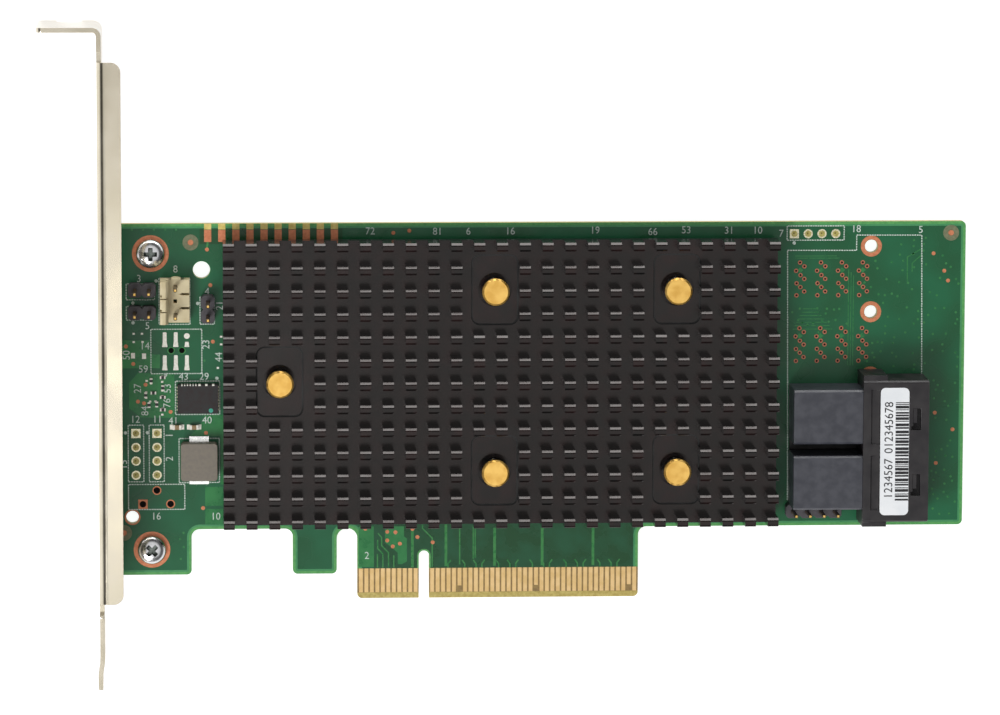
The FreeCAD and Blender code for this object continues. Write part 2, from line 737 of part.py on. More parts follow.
def roof_window(y):
    """Shallow recess in the roof behind the label's place, one for each port."""
    left = SOCKET_REAR + WINDOW_INSET
    half = BLOCK_WIDTH / 2
    return box(left, left + WINDOW_WIDTH, y - half, y + half, SOCKET_TOP - WINDOW_DEPTH, SOCKET_TOP + PAST)


def port_tunnel(y):
    """Way through the socket: a plug enters from the front, the contact block from the rear."""
    half = PORT_WIDTH / 2
    return box(SOCKET_REAR - PAST, SOCKET_FACE + PAST, y - half, y + half,
               PORT_BOTTOM, PORT_BOTTOM + PORT_HEIGHT)


def port_lead_in(y):
    """Bevelled mouth of a port, which guides the plug."""
    half = PORT_WIDTH / 2
    top = PORT_BOTTOM + PORT_HEIGHT
    inner = [vec(SOCKET_FACE - SOCKET_BEVEL, y - half, PORT_BOTTOM),
             vec(SOCKET_FACE - SOCKET_BEVEL, y + half, PORT_BOTTOM),
             vec(SOCKET_FACE - SOCKET_BEVEL, y + half, top),
             vec(SOCKET_FACE - SOCKET_BEVEL, y - half, top)]
    grow = SOCKET_BEVEL
    outer = [vec(SOCKET_FACE, y - half - grow, PORT_BOTTOM - grow),
             vec(SOCKET_FACE, y + half + grow, PORT_BOTTOM - grow),
             vec(SOCKET_FACE, y + half + grow, top + grow),
             vec(SOCKET_FACE, y - half - grow, top + grow)]
    wires = [Part.makePolygon(points + points[:1]) for points in (inner, outer)]
    return Part.makeLoft(wires, True, True)


def cable_socket():
    low = SOCKET_MIDDLE - SOCKET_HALF_LENGTH
    high = SOCKET_MIDDLE + SOCKET_HALF_LENGTH
    crown = SOCKET_TOP - SOCKET_BEVEL
    shell = along_x([(low, BOARD_FRONT, 0), (high, BOARD_FRONT, 0), (high, crown, 0),
                     (high - SOCKET_BEVEL, SOCKET_TOP, 0), (low + SOCKET_BEVEL, SOCKET_TOP, 0),
                     (low, crown, 0)], SOCKET_REAR, SOCKET_FACE)
    pegs = [small_rod(x, y, BOARD_BACK - PEG_REACH, BOARD_FRONT, PEG_DIAMETER) for x, y in peg_places()]
    body = fuse_all([shell] + socket_ears() + pegs)
    cuts = []
    for y in PORT_CENTRES:
        cuts += [port_tunnel(y), port_lead_in(y), latch_slot(y), roof_window(y)]
    return cut_all(body, cuts)


def card_slots(y):
    """Two slots in a contact block's nose, one above the other."""
    half = CARD_SLOT_WIDTH / 2
    front = SOCKET_FACE - PLUG_DEPTH + NOSE_LENGTH
    slots = []
    for side in (-1, 1):
        z = PORT_CENTRE_Z + side * CARD_SLOT_PITCH / 2
        slots.append(box(front - CARD_SLOT_DEPTH, front + PAST, y - half, y + half,
                         z - CARD_SLOT_HEIGHT / 2, z + CARD_SLOT_HEIGHT / 2))
    return slots


def contact_block(y):
    """Block of stacked contact wafers: tall behind the socket, stepped down inside its tunnel."""
    half = BLOCK_WIDTH / 2
    top = BOARD_FRONT + BLOCK_HEIGHT
    edge = SOCKET_BEVEL
    tower = along_x([(y - half, BOARD_FRONT, 0), (y + half, BOARD_FRONT, 0), (y + half, top - edge, 0),
                     (y + half - edge, top, 0), (y - half + edge, top, 0), (y - half, top - edge, 0)],
                    BLOCK_REAR, SOCKET_REAR)
    fit = PORT_WIDTH / 2 - BLOCK_FIT
    inner_face = SOCKET_FACE - PLUG_DEPTH
    neck = box(SOCKET_REAR, inner_face, y - fit, y + fit, PORT_BOTTOM, PORT_BOTTOM + PORT_HEIGHT)
    nose_half = NOSE_WIDTH / 2
    nose = box(inner_face, inner_face + NOSE_LENGTH, y - nose_half, y + nose_half,
               PORT_CENTRE_Z - NOSE_HEIGHT / 2, PORT_CENTRE_Z + NOSE_HEIGHT / 2)
    return cut_all(fuse_all([tower, neck, nose]), card_slots(y))


def socket_label():
    left = SOCKET_REAR + LABEL_INSET
    half = LABEL_LENGTH / 2
    return rounded_plate(left, left + LABEL_WIDTH, SOCKET_MIDDLE - half, SOCKET_MIDDLE + half,
                         SOCKET_TOP, SOCKET_TOP + LABEL_THICKNESS, LABEL_RADIUS)


def leads(places):
    """Square header pins, each from its solder tail behind the board to its tip."""
    low = BOARD_BACK - LEAD_TAIL
    high = BOARD_FRONT + LEAD_RISE
    return Part.makeCompound([square_rod(x, y, low, high, LEAD_SIDE) for x, y in places])


def header_body(places, upright=False):
    """Moulded strip with a waist between one pin and the next, and a square bore for each pin."""
    half = HEADER_WIDTH / 2
    step = HEADER_PITCH / 2
    cells = []
    bores = []
    hole = LEAD_SIDE / 2
    for x, y in places:
        reach_x = half if upright else step
        reach_y = step if upright else half
        c = HEADER_CORNER
        outline = [(x - reach_x + c, y - reach_y, 0), (x + reach_x - c, y - reach_y, 0),
                   (x + reach_x, y - reach_y + c, 0), (x + reach_x, y + reach_y - c, 0),
                   (x + reach_x - c, y + reach_y, 0), (x - reach_x + c, y + reach_y, 0),
                   (x - reach_x, y + reach_y - c, 0), (x - reach_x, y - reach_y + c, 0)]
        cells.append(slab(outline, BOARD_FRONT, BOARD_FRONT + HEADER_BODY))
        bores.append(box(x - hole, x + hole, y - hole, y + hole,
                         BOARD_FRONT - PAST, BOARD_FRONT + HEADER_BODY + PAST))
    return cut_all(fuse_all(cells), bores)


def locking_wall(left, right, low, high):
    """Upright wall whose hooked top snaps over a plug; grooves mark it off into three tongues."""
    foot = BOARD_FRONT
    top = foot + LOCK_WALL_HEIGHT
    hook = [(left, foot, 0), (right, foot, 0), (right, top - 3 * LOCK_HOOK, 0),
            (right + LOCK_HOOK, top - 2 * LOCK_HOOK, 0), (right, top, 0), (left, top, 0)]
    wall = along_y(hook, low, high)
    third = (high - low) / 3
    half = LOCK_GROOVE_WIDTH / 2
    grooves = [box(left - PAST, left + LOCK_GROOVE_DEPTH, low + i * third - half, low + i * third + half,
                   foot, top) for i in (1, 2)]
    return cut_all(wall, grooves)


def lock_header_body():
    x, y = LOCK_HEADER
    left = x - LOCK_SIDE_LEFT
    right = x + LOCK_SIDE_RIGHT
    low = y - LOCK_LENGTH / 2
    high = y + LOCK_LENGTH / 2
    base = box(left, right, low, high, BOARD_FRONT, BOARD_FRONT + LOCK_BODY)
    wall = locking_wall(left - LOCK_WALL_THICKNESS, left, low, high)
    rib = rod(x + LOCK_RIB_SHIFT, high, BOARD_FRONT, BOARD_FRONT + LOCK_BODY, 2 * LOCK_RIB_RADIUS)
    places = header_places(LOCK_HEADER, 3, upright=True)
    hole = LEAD_SIDE / 2
    low = BOARD_FRONT - PAST
    high = BOARD_FRONT + LOCK_BODY + PAST
    cuts = [box(px - hole, px + hole, py - hole, py + hole, low, high) for px, py in places]
    for side in (-1, 1):
        middle = y + side * HEADER_PITCH / 2
        point = right - LOCK_SLIT_LENGTH
        w = LOCK_SLIT_WIDTH / 2
        end = right + PAST
        cuts.append(slab([(point, middle, 0), (point + 3 * w, middle - w, 0), (end, middle - w, 0),
                          (end, middle + w, 0), (point + 3 * w, middle + w, 0)],
                         BOARD_FRONT + LOCK_SLIT_FLOOR, high))
    return cut_all(fuse_all([base, wall, rib]), cuts)


def inductor_terminals():
    """Folded strips: each foot lies on the board, tucks under the body and turns up its side."""
    x, y = INDUCTOR_CENTRE
    half = TERMINAL_WIDTH / 2
    strips = []
    for side in (-1, 1):
        wall = y + side * INDUCTOR_WIDTH / 2
        inner = wall - side * TERMINAL_TUCK
        outer = wall + side * TERMINAL_REACH
        lip = wall + side * TERMINAL_THICKNESS
        foot = box(x - half, x + half, min(inner, outer), max(inner, outer),
                   BOARD_FRONT, BOARD_FRONT + TERMINAL_THICKNESS)
        upturn = box(x - half, x + half, min(wall, lip), max(wall, lip),
                     BOARD_FRONT, BOARD_FRONT + TERMINAL_LIP)
        strips.append(foot.fuse(upturn).removeSplitter())
    return Part.makeCompound(strips)


def inductor_body():
    x, y = INDUCTOR_CENTRE
    half_x = INDUCTOR_LENGTH / 2
    half_y = INDUCTOR_WIDTH / 2
    body = rounded_plate(x - half_x, x + half_x, y - half_y, y + half_y,
                         BOARD_FRONT, BOARD_FRONT + INDUCTOR_HEIGHT, INDUCTOR_CORNER)
    return body.cut(inductor_terminals())


def stage_body():
    x, y = STAGE_CENTRE
    return box(x - STAGE_LENGTH / 2, x + STAGE_LENGTH / 2, y - STAGE_WIDTH / 2, y + STAGE_WIDTH / 2,
               BOARD_FRONT, BOARD_FRONT + STAGE_HEIGHT)


def chip(x, y, size, z0, upright=False):
    length, width, height = size
    reach_x = (width if upright else length) / 2
    reach_y = (length if upright else width) / 2
    return box(x - reach_x, x + reach_x, y - reach_y, y + reach_y, z0, z0 + height)


def ceramic_capacitors():
    return Part.makeCompound([chip(x, y, CAPACITOR_SIZE, BOARD_FRONT) for x, y in CAPACITOR_PLACES])


def chip_parts():
    parts = [chip(x, y, CHIP_SIZE, BOARD_FRONT) for x, y in CHIPS_ALONG_X]
    parts += [chip(x, y, CHIP_SIZE, BOARD_FRONT, True) for x, y in CHIPS_ALONG_Y]
    return Part.makeCompound(parts)


def back_capacitors():
    """Decoupling capacitors behind the controller, in a square grid."""
    x, y = CHIP_CENTRE
    places = [(i - (BACK_CAPACITOR_GRID - 1) / 2) * BACK_CAPACITOR_PITCH for i in range(BACK_CAPACITOR_GRID)]
    z0 = BOARD_BACK - CHIP_SIZE[2]
    return Part.makeCompound([chip(x + dx, y + dy, CHIP_SIZE, z0) for dx in places for dy in places])


def card_nodes():
    led_places = [header_places((LED_HEADER_X, row), 2) for row in LED_HEADER_ROWS]
    jumper_places = header_places(JUMPER_HEADER, 2, upright=True)
    serial_places = header_places(SERIAL_HEADER, 4)
    return {
        "circuit_board": circuit_board(),
        "edge_contacts_front": edge_contacts(BOARD_FRONT, BOARD_FRONT + CONTACT_THICKNESS,
                                             SHORT_FRONT_CONTACTS),
        "edge_contacts_back": edge_contacts(BOARD_BACK - CONTACT_THICKNESS, BOARD_BACK, ()),
        "bracket": bracket(),
        "bracket_screws": Part.makeCompound([bracket_screw(row) for row in SCREW_ROWS]),
        "heat_sink": heat_sink(),
        "push_pins": Part.makeCompound([push_pin(x, y) for x, y in push_pin_places()]),
        "push_pin_springs": Part.makeCompound([push_pin_spring(x, y) for x, y in push_pin_places()]),
        "controller_substrate": controller_substrate(),
        "controller_lid": controller_lid(),
        "thermal_pad": thermal_pad(),
        "cable_socket": cable_socket(),
        "contact_block_lower": contact_block(PORT_CENTRES[0]),
        "contact_block_upper": contact_block(PORT_CENTRES[1]),
        "socket_label": socket_label(),
        "led_header_upper": header_body(led_places[0]),
        "led_header_upper_pins": leads(led_places[0]),
        "led_header_lower": header_body(led_places[1]),
        "led_header_lower_pins": leads(led_places[1]),
        "jumper_header": header_body(jumper_places, upright=True),
        "jumper_header_pins": leads(jumper_places),
        "lock_header": lock_header_body(),
        "lock_header_pins": leads(lock_lead_places()),
        "serial_header": header_body(serial_places),
        "serial_header_pins": leads(serial_places),
        "power_inductor": inductor_body(),
        "power_inductor_terminals": inductor_terminals(),
        "power_stage": stage_body(),
        "ceramic_capacitors": ceramic_capacitors(),
        "chip_resistors": chip_parts(),
        "back_capacitors": back_capacitors(),
    }


def main():
    os.makedirs("parts", exist_ok=True)
    for name, shape in card_nodes().items():
        shape.exportStep("parts/" + name + ".step")
        box_mm = shape.BoundBox
        print(name, len(shape.Solids), shape.isValid(), round(shape.Volume, 2),
              round(box_mm.XMin, 2), round(box_mm.XMax, 2), round(box_mm.YMin, 2),
              round(box_mm.YMax, 2), round(box_mm.ZMin, 2), round(box_mm.ZMax, 2))


main()
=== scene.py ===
import json
import math
import random

import bmesh
import bpy
from mathutils import Matrix, Vector

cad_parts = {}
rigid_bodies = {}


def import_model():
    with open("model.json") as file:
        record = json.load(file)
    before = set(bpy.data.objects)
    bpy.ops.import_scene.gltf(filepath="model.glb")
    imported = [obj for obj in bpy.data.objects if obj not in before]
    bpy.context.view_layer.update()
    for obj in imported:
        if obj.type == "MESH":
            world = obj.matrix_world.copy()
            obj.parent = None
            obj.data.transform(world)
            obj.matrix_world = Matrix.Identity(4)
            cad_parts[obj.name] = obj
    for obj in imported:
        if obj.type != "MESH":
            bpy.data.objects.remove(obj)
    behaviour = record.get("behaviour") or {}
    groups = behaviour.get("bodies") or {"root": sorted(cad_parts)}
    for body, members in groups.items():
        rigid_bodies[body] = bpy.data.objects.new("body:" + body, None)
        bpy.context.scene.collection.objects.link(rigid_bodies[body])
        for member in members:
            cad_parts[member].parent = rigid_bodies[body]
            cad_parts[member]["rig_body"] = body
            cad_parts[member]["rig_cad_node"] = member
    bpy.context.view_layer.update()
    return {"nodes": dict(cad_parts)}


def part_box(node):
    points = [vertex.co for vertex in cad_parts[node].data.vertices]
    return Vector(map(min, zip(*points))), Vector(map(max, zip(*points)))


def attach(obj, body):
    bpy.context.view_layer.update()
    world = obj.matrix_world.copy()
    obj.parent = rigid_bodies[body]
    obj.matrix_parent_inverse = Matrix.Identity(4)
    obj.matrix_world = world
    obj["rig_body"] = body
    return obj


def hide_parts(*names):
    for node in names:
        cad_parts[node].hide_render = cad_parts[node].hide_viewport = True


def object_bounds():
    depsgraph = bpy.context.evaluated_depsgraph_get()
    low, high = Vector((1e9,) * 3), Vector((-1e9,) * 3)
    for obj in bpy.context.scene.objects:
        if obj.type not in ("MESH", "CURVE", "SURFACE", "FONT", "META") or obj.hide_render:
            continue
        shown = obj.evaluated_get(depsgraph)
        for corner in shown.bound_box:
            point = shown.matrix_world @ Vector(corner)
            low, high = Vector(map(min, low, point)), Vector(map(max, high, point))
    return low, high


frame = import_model()
nodes = frame["nodes"]

# Places and sizes below are in millimetres, in the frame of the CAD model; MM turns them to metres
MM = 0.001
BODY = "root"
# Two heights closer than this, in metres, are one height
CLOSE = 1e-6
# Thin sheets dip this far into what carries them, so that no gap shows
DIP = 0.01
# Cutters reach this far past what they cut
OVER = 1.0


def node_box(name):
    """Lowest and highest corner of a CAD node, in millimetres."""
    low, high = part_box(name)
    return tuple(c / MM for c in low), tuple(c / MM for c in high)


BOARD_LOW, BOARD_HIGH = node_box("circuit_board")
SINK_LOW, SINK_HIGH = node_box("heat_sink")
SOCKET_TOP = node_box("cable_socket")[1][2]
LABEL_TOP = node_box("socket_label")[1][2]
BOARD_FACE = BOARD_HIGH[2]
BOARD_BACK = BOARD_LOW[2]

# Board outline, as the CAD has it
INNER_RADIUS = 1.45
OUTER_RADIUS = 0.9
BODY_EDGE = 13.0
LOWER_TAB_EDGE = 4.65
BRACKET_TAB_RIGHT = -42.3
HOOK_LEFT = -23.9
HOOK_RIGHT = -15.9
CONNECTOR_LEFT = -12.15
CONNECTOR_RIGHT = 39.15
FINGER_TOP = 5.55
KEY_WIDTH = 1.9
KEY_HEIGHT = 8.8

# Heat sink
SINK_FLOOR = 5.285
PIN_LENGTH = 1.97
PIN_THICKNESS = 1.55
COLUMN_PITCH = 4.1
ROW_PITCH = 4.19
COLUMNS = 25
ROWS = 13
PIN_BEVEL = 0.46
PIN_NEAR_BEVEL = 0.22
PIN_EDGE_BREAK = 0.12
PIN_ROOT = 0.1
PUSH_PLACES = ((12.6, 24.2), (12.6, 57.2), (45.6, 24.2), (45.6, 57.2), (-26.3, 40.6))
POCKET_COLUMNS = 2
POCKET_ROWS = 3
POCKET_WIDTH = 8.6
POCKET_LENGTH = 12.9
POCKET_DEPTH = 0.3
POCKET_CORNER = 1.6
POCKET_LINE = 0.3
SEAT_DIAMETER = 6.1
SEAT_FLOOR = 3.885
SHANK_HOLE = 3.1


# Working in object and edit mode

def only(piece=None):
    """Selects this piece alone, or nothing."""
    bpy.ops.object.select_all(action="DESELECT")
    if piece:
        piece.select_set(True)
        bpy.context.view_layer.objects.active = piece


def edit(piece):
    only(piece)
    bpy.ops.object.mode_set(mode="EDIT")


def leave_edit():
    bpy.ops.object.mode_set(mode="OBJECT")


def pick(piece, kind, test):
    """In edit mode, selects the faces or edges that pass a test of place."""
    bpy.ops.mesh.select_mode(type=kind)
    bpy.ops.mesh.select_all(action="DESELECT")
    shape = bmesh.from_edit_mesh(piece.data)
    for part in (shape.faces if kind == "FACE" else shape.edges):
        part.select_set(bool(test(part)))
    bmesh.update_edit_mesh(piece.data)


def settle(piece, name):
    """Applies a piece's place to its mesh and names it."""
    only(piece)
    bpy.ops.object.transform_apply(location=True, rotation=True, scale=True)
    piece.name = name
    piece.data.name = name
    return piece


def add_modifier(piece, kind, **settings):
    """Adds a modifier with these settings and applies it."""
    only(piece)
    modifier = piece.modifiers.new(kind.lower(), kind)
    for key, value in settings.items():
        setattr(modifier, key, value)
    bpy.ops.object.modifier_apply(modifier=modifier.name)


def join(name, pieces):
    only()
    for piece in pieces:
        piece.select_set(True)
    bpy.context.view_layer.objects.active = pieces[0]
    if len(pieces) > 1:
        bpy.ops.object.join()
    return settle(pieces[0], name)


def repeat(name, model, places):
    """Copies a model to each place, each copy with its own mesh, and joins them."""
    copies = []
    for place in places:
        copy = model.copy()
        copy.data = model.data.copy()
        bpy.context.scene.collection.objects.link(copy)
        x, y, z = place if len(place) == 3 else (*place, 0.0)
        copy.location = Vector((x, y, z)) * MM
        copies.append(copy)
    bpy.data.objects.remove(model)
    return join(name, copies)


def block(name, low, high, edge=0.0, rounded=0.0):
    """A block between two corners. Its upright edges can be rounded, or all its edges bevelled."""
    middle = [(a + b) / 2 * MM for a, b in zip(low, high)]
    size = [(b - a) * MM for a, b in zip(low, high)]
    only()
    bpy.ops.mesh.primitive_cube_add(size=1, location=middle, scale=size)
    piece = settle(bpy.context.object, name)
    if rounded:
        edit(piece)
        pick(piece, "EDGE", lambda e: abs(e.verts[0].co.z - e.verts[1].co.z) > CLOSE)
        bpy.ops.mesh.bevel(offset=rounded * MM, segments=6, affect="EDGES")
        leave_edit()
    if edge:
        edit(piece)
        bpy.ops.mesh.bevel(offset=edge * MM, segments=1, affect="EDGES")
        leave_edit()
    return piece


def turned(name, centre, profile, sides=32):
    """A round piece about an upright axis: a disc that is extruded and scaled along a profile of
    (diameter, height) steps."""
    first_diameter, first_height = profile[0]
    only()
    bpy.ops.mesh.primitive_circle_add(vertices=sides, radius=first_diameter / 2 * MM, fill_type="NGON",
                                      location=(centre[0] * MM, centre[1] * MM, first_height * MM))
    piece = bpy.context.object
    edit(piece)
    diameter, height = first_diameter, first_height
    for next_diameter, next_height in profile[1:]:
        rise = (next_height - height) * MM
        bpy.ops.mesh.extrude_region_move(TRANSFORM_OT_translate={"value": (0, 0, rise)})
        scale = next_diameter / diameter
        middle = (centre[0] * MM, centre[1] * MM, next_height * MM)
        bpy.ops.transform.resize(value=(scale, scale, 1), center_override=middle)
        diameter, height = next_diameter, next_height
    bpy.ops.mesh.select_all(action="SELECT")
    bpy.ops.mesh.normals_make_consistent(inside=False)
    leave_edit()
    return settle(piece, name)


def smooth(piece, degrees=35):
    only(piece)
    bpy.ops.object.shade_smooth_by_angle(angle=math.radians(degrees))
    return piece


def carve(piece, cutters):
    for cutter in cutters:
        add_modifier(piece, "BOOLEAN", operation="DIFFERENCE", object=cutter, solver="EXACT")
        bpy.data.objects.remove(cutter)
    return piece


def shifted(place, by):
    """A place moved by these amounts."""
    return tuple(a + b for a, b in zip(place, by))


# Flat shapes: outlines filled as curves, then made solid sheets

def circle(x, y, diameter, sides=24):
    step = 2 * math.pi / sides
    radius = diameter / 2
    return [(x + radius * math.cos(i * step), y + radius * math.sin(i * step)) for i in range(sides)]


def discs(places, diameter, sides=24):
    return [circle(*place, diameter, sides) for place in places]


def rings(places, outer, inner, sides=24):
    return [circle(*place, size, sides) for place in places for size in (outer, inner)]


def rectangle(left, right, foot, head):
    return [(left, foot), (right, foot), (right, head), (left, head)]


def slab(x, y, width, height):
    """A rectangle about its middle."""
    return rectangle(x - width / 2, x + width / 2, y - height / 2, y + height / 2)


# Sharper corners than this are cut short
MITRE_LIMIT = 0.3


def stroke(points, width):
    """The outline of a line of this width along these points, with mitred corners."""
    sides = []
    for i, (x, y) in enumerate(points):
        before = points[max(i - 1, 0)]
        after = points[min(i + 1, len(points) - 1)]
        arriving = Vector((x - before[0], y - before[1])) if i else None
        leaving = Vector((after[0] - x, after[1] - y)) if i < len(points) - 1 else None
        arriving = (arriving or leaving).normalized()
        leaving = (leaving or arriving).normalized()
        normal = Vector((-(arriving + leaving).y, (arriving + leaving).x)).normalized()
        reach = width / 2 / max(normal.dot(Vector((-arriving.y, arriving.x))), MITRE_LIMIT)
        sides.append((Vector((x, y)) + normal * reach, Vector((x, y)) - normal * reach))
    return [tuple(left) for left, _ in sides] + [tuple(right) for _, right in reversed(sides)]


# A dotted line: from dot to dot, and the share of that which is printed
DASH_PITCH = 0.46
DASH_SHARE = 0.74


def dashes(points, width):
    """Outlines of a finely dotted line along these points."""
    outlines = []
    for start, end in zip(points, points[1:]):
        start, end = Vector(start), Vector(end)
        way = end - start
        count = max(round(way.length / DASH_PITCH), 1)
        for k in range(count):
            dash = [start + way * k / count, start + way * (k + DASH_SHARE) / count]
            outlines.append(stroke(dash, width))
    return outlines


def rounded_outline(corners, steps=5):
    """An outline through (x, y, radius) corners, each with an arc of that radius."""
    points = []
    for i, (x, y, radius) in enumerate(corners):
        corner = Vector((x, y))
        if not radius:
            points.append((x, y))
            continue
        towards = [(Vector(corners[j % len(corners)][:2]) - corner).normalized() for j in (i - 1, i + 1)]
        half = towards[0].angle(towards[1]) / 2
        centre = corner + (towards[0] + towards[1]).normalized() * radius / math.sin(half)
        start, end = (corner + t * radius / math.tan(half) - centre for t in towards)
        turn = start.angle_signed(end)
        for k in range(steps + 1):
            points.append(tuple(centre + Matrix.Rotation(-turn * k / steps, 2) @ start))
    return points


def sheet(name, outlines, low, high):
    """A thin closed sheet of these outlines, the inner ones as holes."""
    curve = bpy.data.curves.new(name, "CURVE")
    curve.dimensions = "2D"
    curve.fill_mode = "BOTH"
    curve.extrude = (high - low) / 2 * MM
    for outline in outlines:
        spline = curve.splines.new("POLY")
        spline.points.add(len(outline) - 1)
        for point, (x, y) in zip(spline.points, outline):
            point.co = (x * MM, y * MM, 0, 1)
        spline.use_cyclic_u = True
    drawn = bpy.data.objects.new(name, curve)
    bpy.context.scene.collection.objects.link(drawn)
    only(drawn)
    bpy.ops.object.convert(target="MESH")
    piece = bpy.context.object
    piece.location.z = (low + high) / 2 * MM
    settle(piece, name)
    edit(piece)
    bpy.ops.mesh.select_all(action="SELECT")
    bpy.ops.mesh.remove_doubles(threshold=1e-7)
    bpy.ops.mesh.normals_make_consistent(inside=False)
    leave_edit()
    return piece


# Materials

def linear(code):
    """A six-digit sRGB colour as linear light."""
    parts = [int(code[i:i + 2], 16) / 255 for i in (0, 2, 4)]
    return tuple(c / 12.92 if c <= 0.04045 else ((c + 0.055) / 1.055) ** 2.4 for c in parts) + (1.0,)


# The studio's light from straight above, as a share of white, and the sheen that it leaves on a
# surface that isn't metal; no colour gets darker than the darkest
TOP_LIGHT = 0.8
SHEEN = 0.028
DARKEST = 0.003


class Finish:
    """A material being built from nodes."""

    def __init__(self, name, **shader):
        self.material = bpy.data.materials.new(name)
        self.material.use_nodes = True
        self.tree = self.material.node_tree
        self.shader = self.tree.nodes["Principled BSDF"]
        for key, value in shader.items():
            self.shader.inputs[key.replace("_", " ")].default_value = value
        self.place = self.add("ShaderNodeTexCoord").outputs["Object"]

    def add(self, kind, settings=None, **inputs):
        """Adds a node with settings, and with inputs that are values or other nodes' outputs."""
        node = self.tree.nodes.new(kind)
        for key, value in (settings or {}).items():
            setattr(node, key, value)
        for key, value in inputs.items():
            socket = node.inputs[int(key[1:])] if key[0] == "_" else node.inputs[key.replace("_", " ")]
            if isinstance(value, bpy.types.NodeSocket):
                self.tree.links.new(value, socket)
            else:
                socket.default_value = value
        return node

    def feed(self, name, output):
        self.tree.links.new(output, self.shader.inputs[name])

    def noise(self, size):
        """Soft random patches about this many millimetres across."""
        return self.add("ShaderNodeTexNoise", Vector=self.place, Scale=1 / (size * MM)).outputs["Fac"]

    def ramp(self, value, low, high, start=0.35, end=0.65):
        """Turns a pattern into a range of values between low and high."""
        return self.add("ShaderNodeMapRange", _0=value, _1=start, _2=end, _3=low, _4=high).outputs[0]

    def mix(self, factor, first, second):
        """Mixes two colours, given as codes or outputs."""
        first, second = (linear(c) if isinstance(c, str) else c for c in (first, second))
        settings = {"data_type": "RGBA"}
        return self.add("ShaderNodeMix", settings, _0=factor, _6=first, _7=second).outputs[2]

    def facing(self, axis, limit):
        """Where the surface is turned towards an axis by more than this limit."""
        normal = self.add("ShaderNodeNewGeometry").outputs["True Normal"]
        share = self.add("ShaderNodeSeparateXYZ", Vector=normal).outputs[axis]
        return self.add("ShaderNodeMath", {"operation": "GREATER_THAN"}, _0=share, _1=limit).outputs[0]

    def colour(self):
        return self.shader.inputs["Base Color"].links[0].from_socket

    def bump(self, height, depth):
        """A relief of this many millimetres."""
        node = self.add("ShaderNodeBump", Height=height, Distance=depth * MM)
        self.feed("Normal", node.outputs["Normal"])


def give(piece, finish):
    piece.data.materials.clear()
    piece.data.materials.append(finish.material)


def mottled(name, first, second, size, rough=(0.3, 0.4), relief=(0.3, 0.002), **shader):
    """A finish of two close colours in soft patches, with a fine relief of (size, depth). The colours
    are as seen: a metal mirrors the studio's dimmed top, and on anything else its sheen is taken off."""
    metal = shader.get("Metallic", 0)
    finish = Finish(name, **shader)
    patches = finish.noise(size)
    colours = [tuple(c / TOP_LIGHT for c in linear(code)[:3]) if metal > 0.5
               else tuple(max(c - SHEEN, DARKEST) for c in linear(code)[:3]) for code in (first, second)]
    colours = [tuple(min(c, 1.0) for c in colour) + (1.0,) for colour in colours]
    finish.feed("Base Color", finish.mix(finish.ramp(patches, 0, 1), *colours))
    finish.feed("Roughness", finish.ramp(patches, *rough))
    finish.bump(finish.noise(relief[0]), relief[1])
    return finish


# How squarely a point of the board has to face front or back to be on a face, not on a cut edge
FACE_LIMIT = 0.97
# Bare laminate reaches this far past the fingers on both sides
FINGER_MARGIN = 0.5


def make_laminate():
    """Glass-epoxy laminate: bright green where only mask covers it, bare brown between the fingers,
    pale yellow on every cut edge."""
    finish = Finish("glass_epoxy_laminate", Roughness=0.45)
    axes = finish.add("ShaderNodeSeparateXYZ", Vector=finish.place)
    normal = finish.add("ShaderNodeNewGeometry").outputs["True Normal"]
    facing = finish.add("ShaderNodeSeparateXYZ", Vector=normal)
    upright = finish.add("ShaderNodeMath", {"operation": "ABSOLUTE"}, _0=facing.outputs["Z"]).outputs[0]
    flat = finish.add("ShaderNodeMath", {"operation": "GREATER_THAN"}, _0=upright, _1=FACE_LIMIT).outputs[0]
    below = finish.add("ShaderNodeMath", {"operation": "LESS_THAN"}, _0=axes.outputs["Y"],
                       _1=FINGER_TOP * MM).outputs[0]
    inside = finish.add("ShaderNodeMath", {"operation": "COMPARE"}, _0=axes.outputs["X"],
                        _1=(CONNECTOR_LEFT + CONNECTOR_RIGHT) / 2 * MM,
                        _2=((CONNECTOR_RIGHT - CONNECTOR_LEFT) / 2 + FINGER_MARGIN) * MM).outputs[0]
    bare = finish.add("ShaderNodeMath", {"operation": "MULTIPLY"}, _0=below, _1=inside).outputs[0]
    weave = finish.ramp(finish.noise(0.6), 0, 1)
    face = finish.mix(bare, finish.mix(weave, "46934a", "55a355"), finish.mix(weave, "846a3c", "987d45"))
    edge = finish.mix(weave, "a18e46", "b7a65e")
    finish.feed("Base Color", finish.mix(flat, edge, face))
    finish.bump(finish.noise(0.4), 0.002)
    return finish


def make_pin_gold():
    """Flash gold on square pins: bright on the flat tips; down the sides a dark brownish gold, a painted
    shade.
    """
    finish = Finish("flash_gold_on_pins", Metallic=0.6, Roughness=0.3)
    tip = finish.facing("Z", 0.9)
    wear = finish.ramp(finish.noise(0.5), 0, 1)
    # Painted shade: the sides get a dark brownish gold, and the flat tips the bright one
    sides = finish.mix(wear, "4a3820", "5e482a")
    tips = finish.mix(wear, "e2b55c", "f3cf7c")
    finish.feed("Base Color", finish.mix(tip, sides, tips))
    finish.bump(finish.noise(0.3), 0.002)
    return finish


def make_anodised():
    """Black anodised aluminium: nearly black, lit by its satin sheen. Its upright sides get a blacker colour
    and less sheen, a painted shade for the dark between the pins."""
    finish = mottled("black_anodised_aluminium", "302b28", "37312e", 3.0, rough=(0.15, 0.2),
                     relief=(0.4, 0.0004), Specular_Tint=(1.0, 0.93, 0.9, 1.0))
    # Painted shade: faces that don't face up get a blacker colour and a lower sheen
    upward = finish.facing("Z", 0.2)
    finish.feed("Base Color", finish.mix(upward, "111113", finish.colour()))
    finish.feed("Specular IOR Level", finish.ramp(upward, 0.3, 0.47, 0, 1))
    return finish


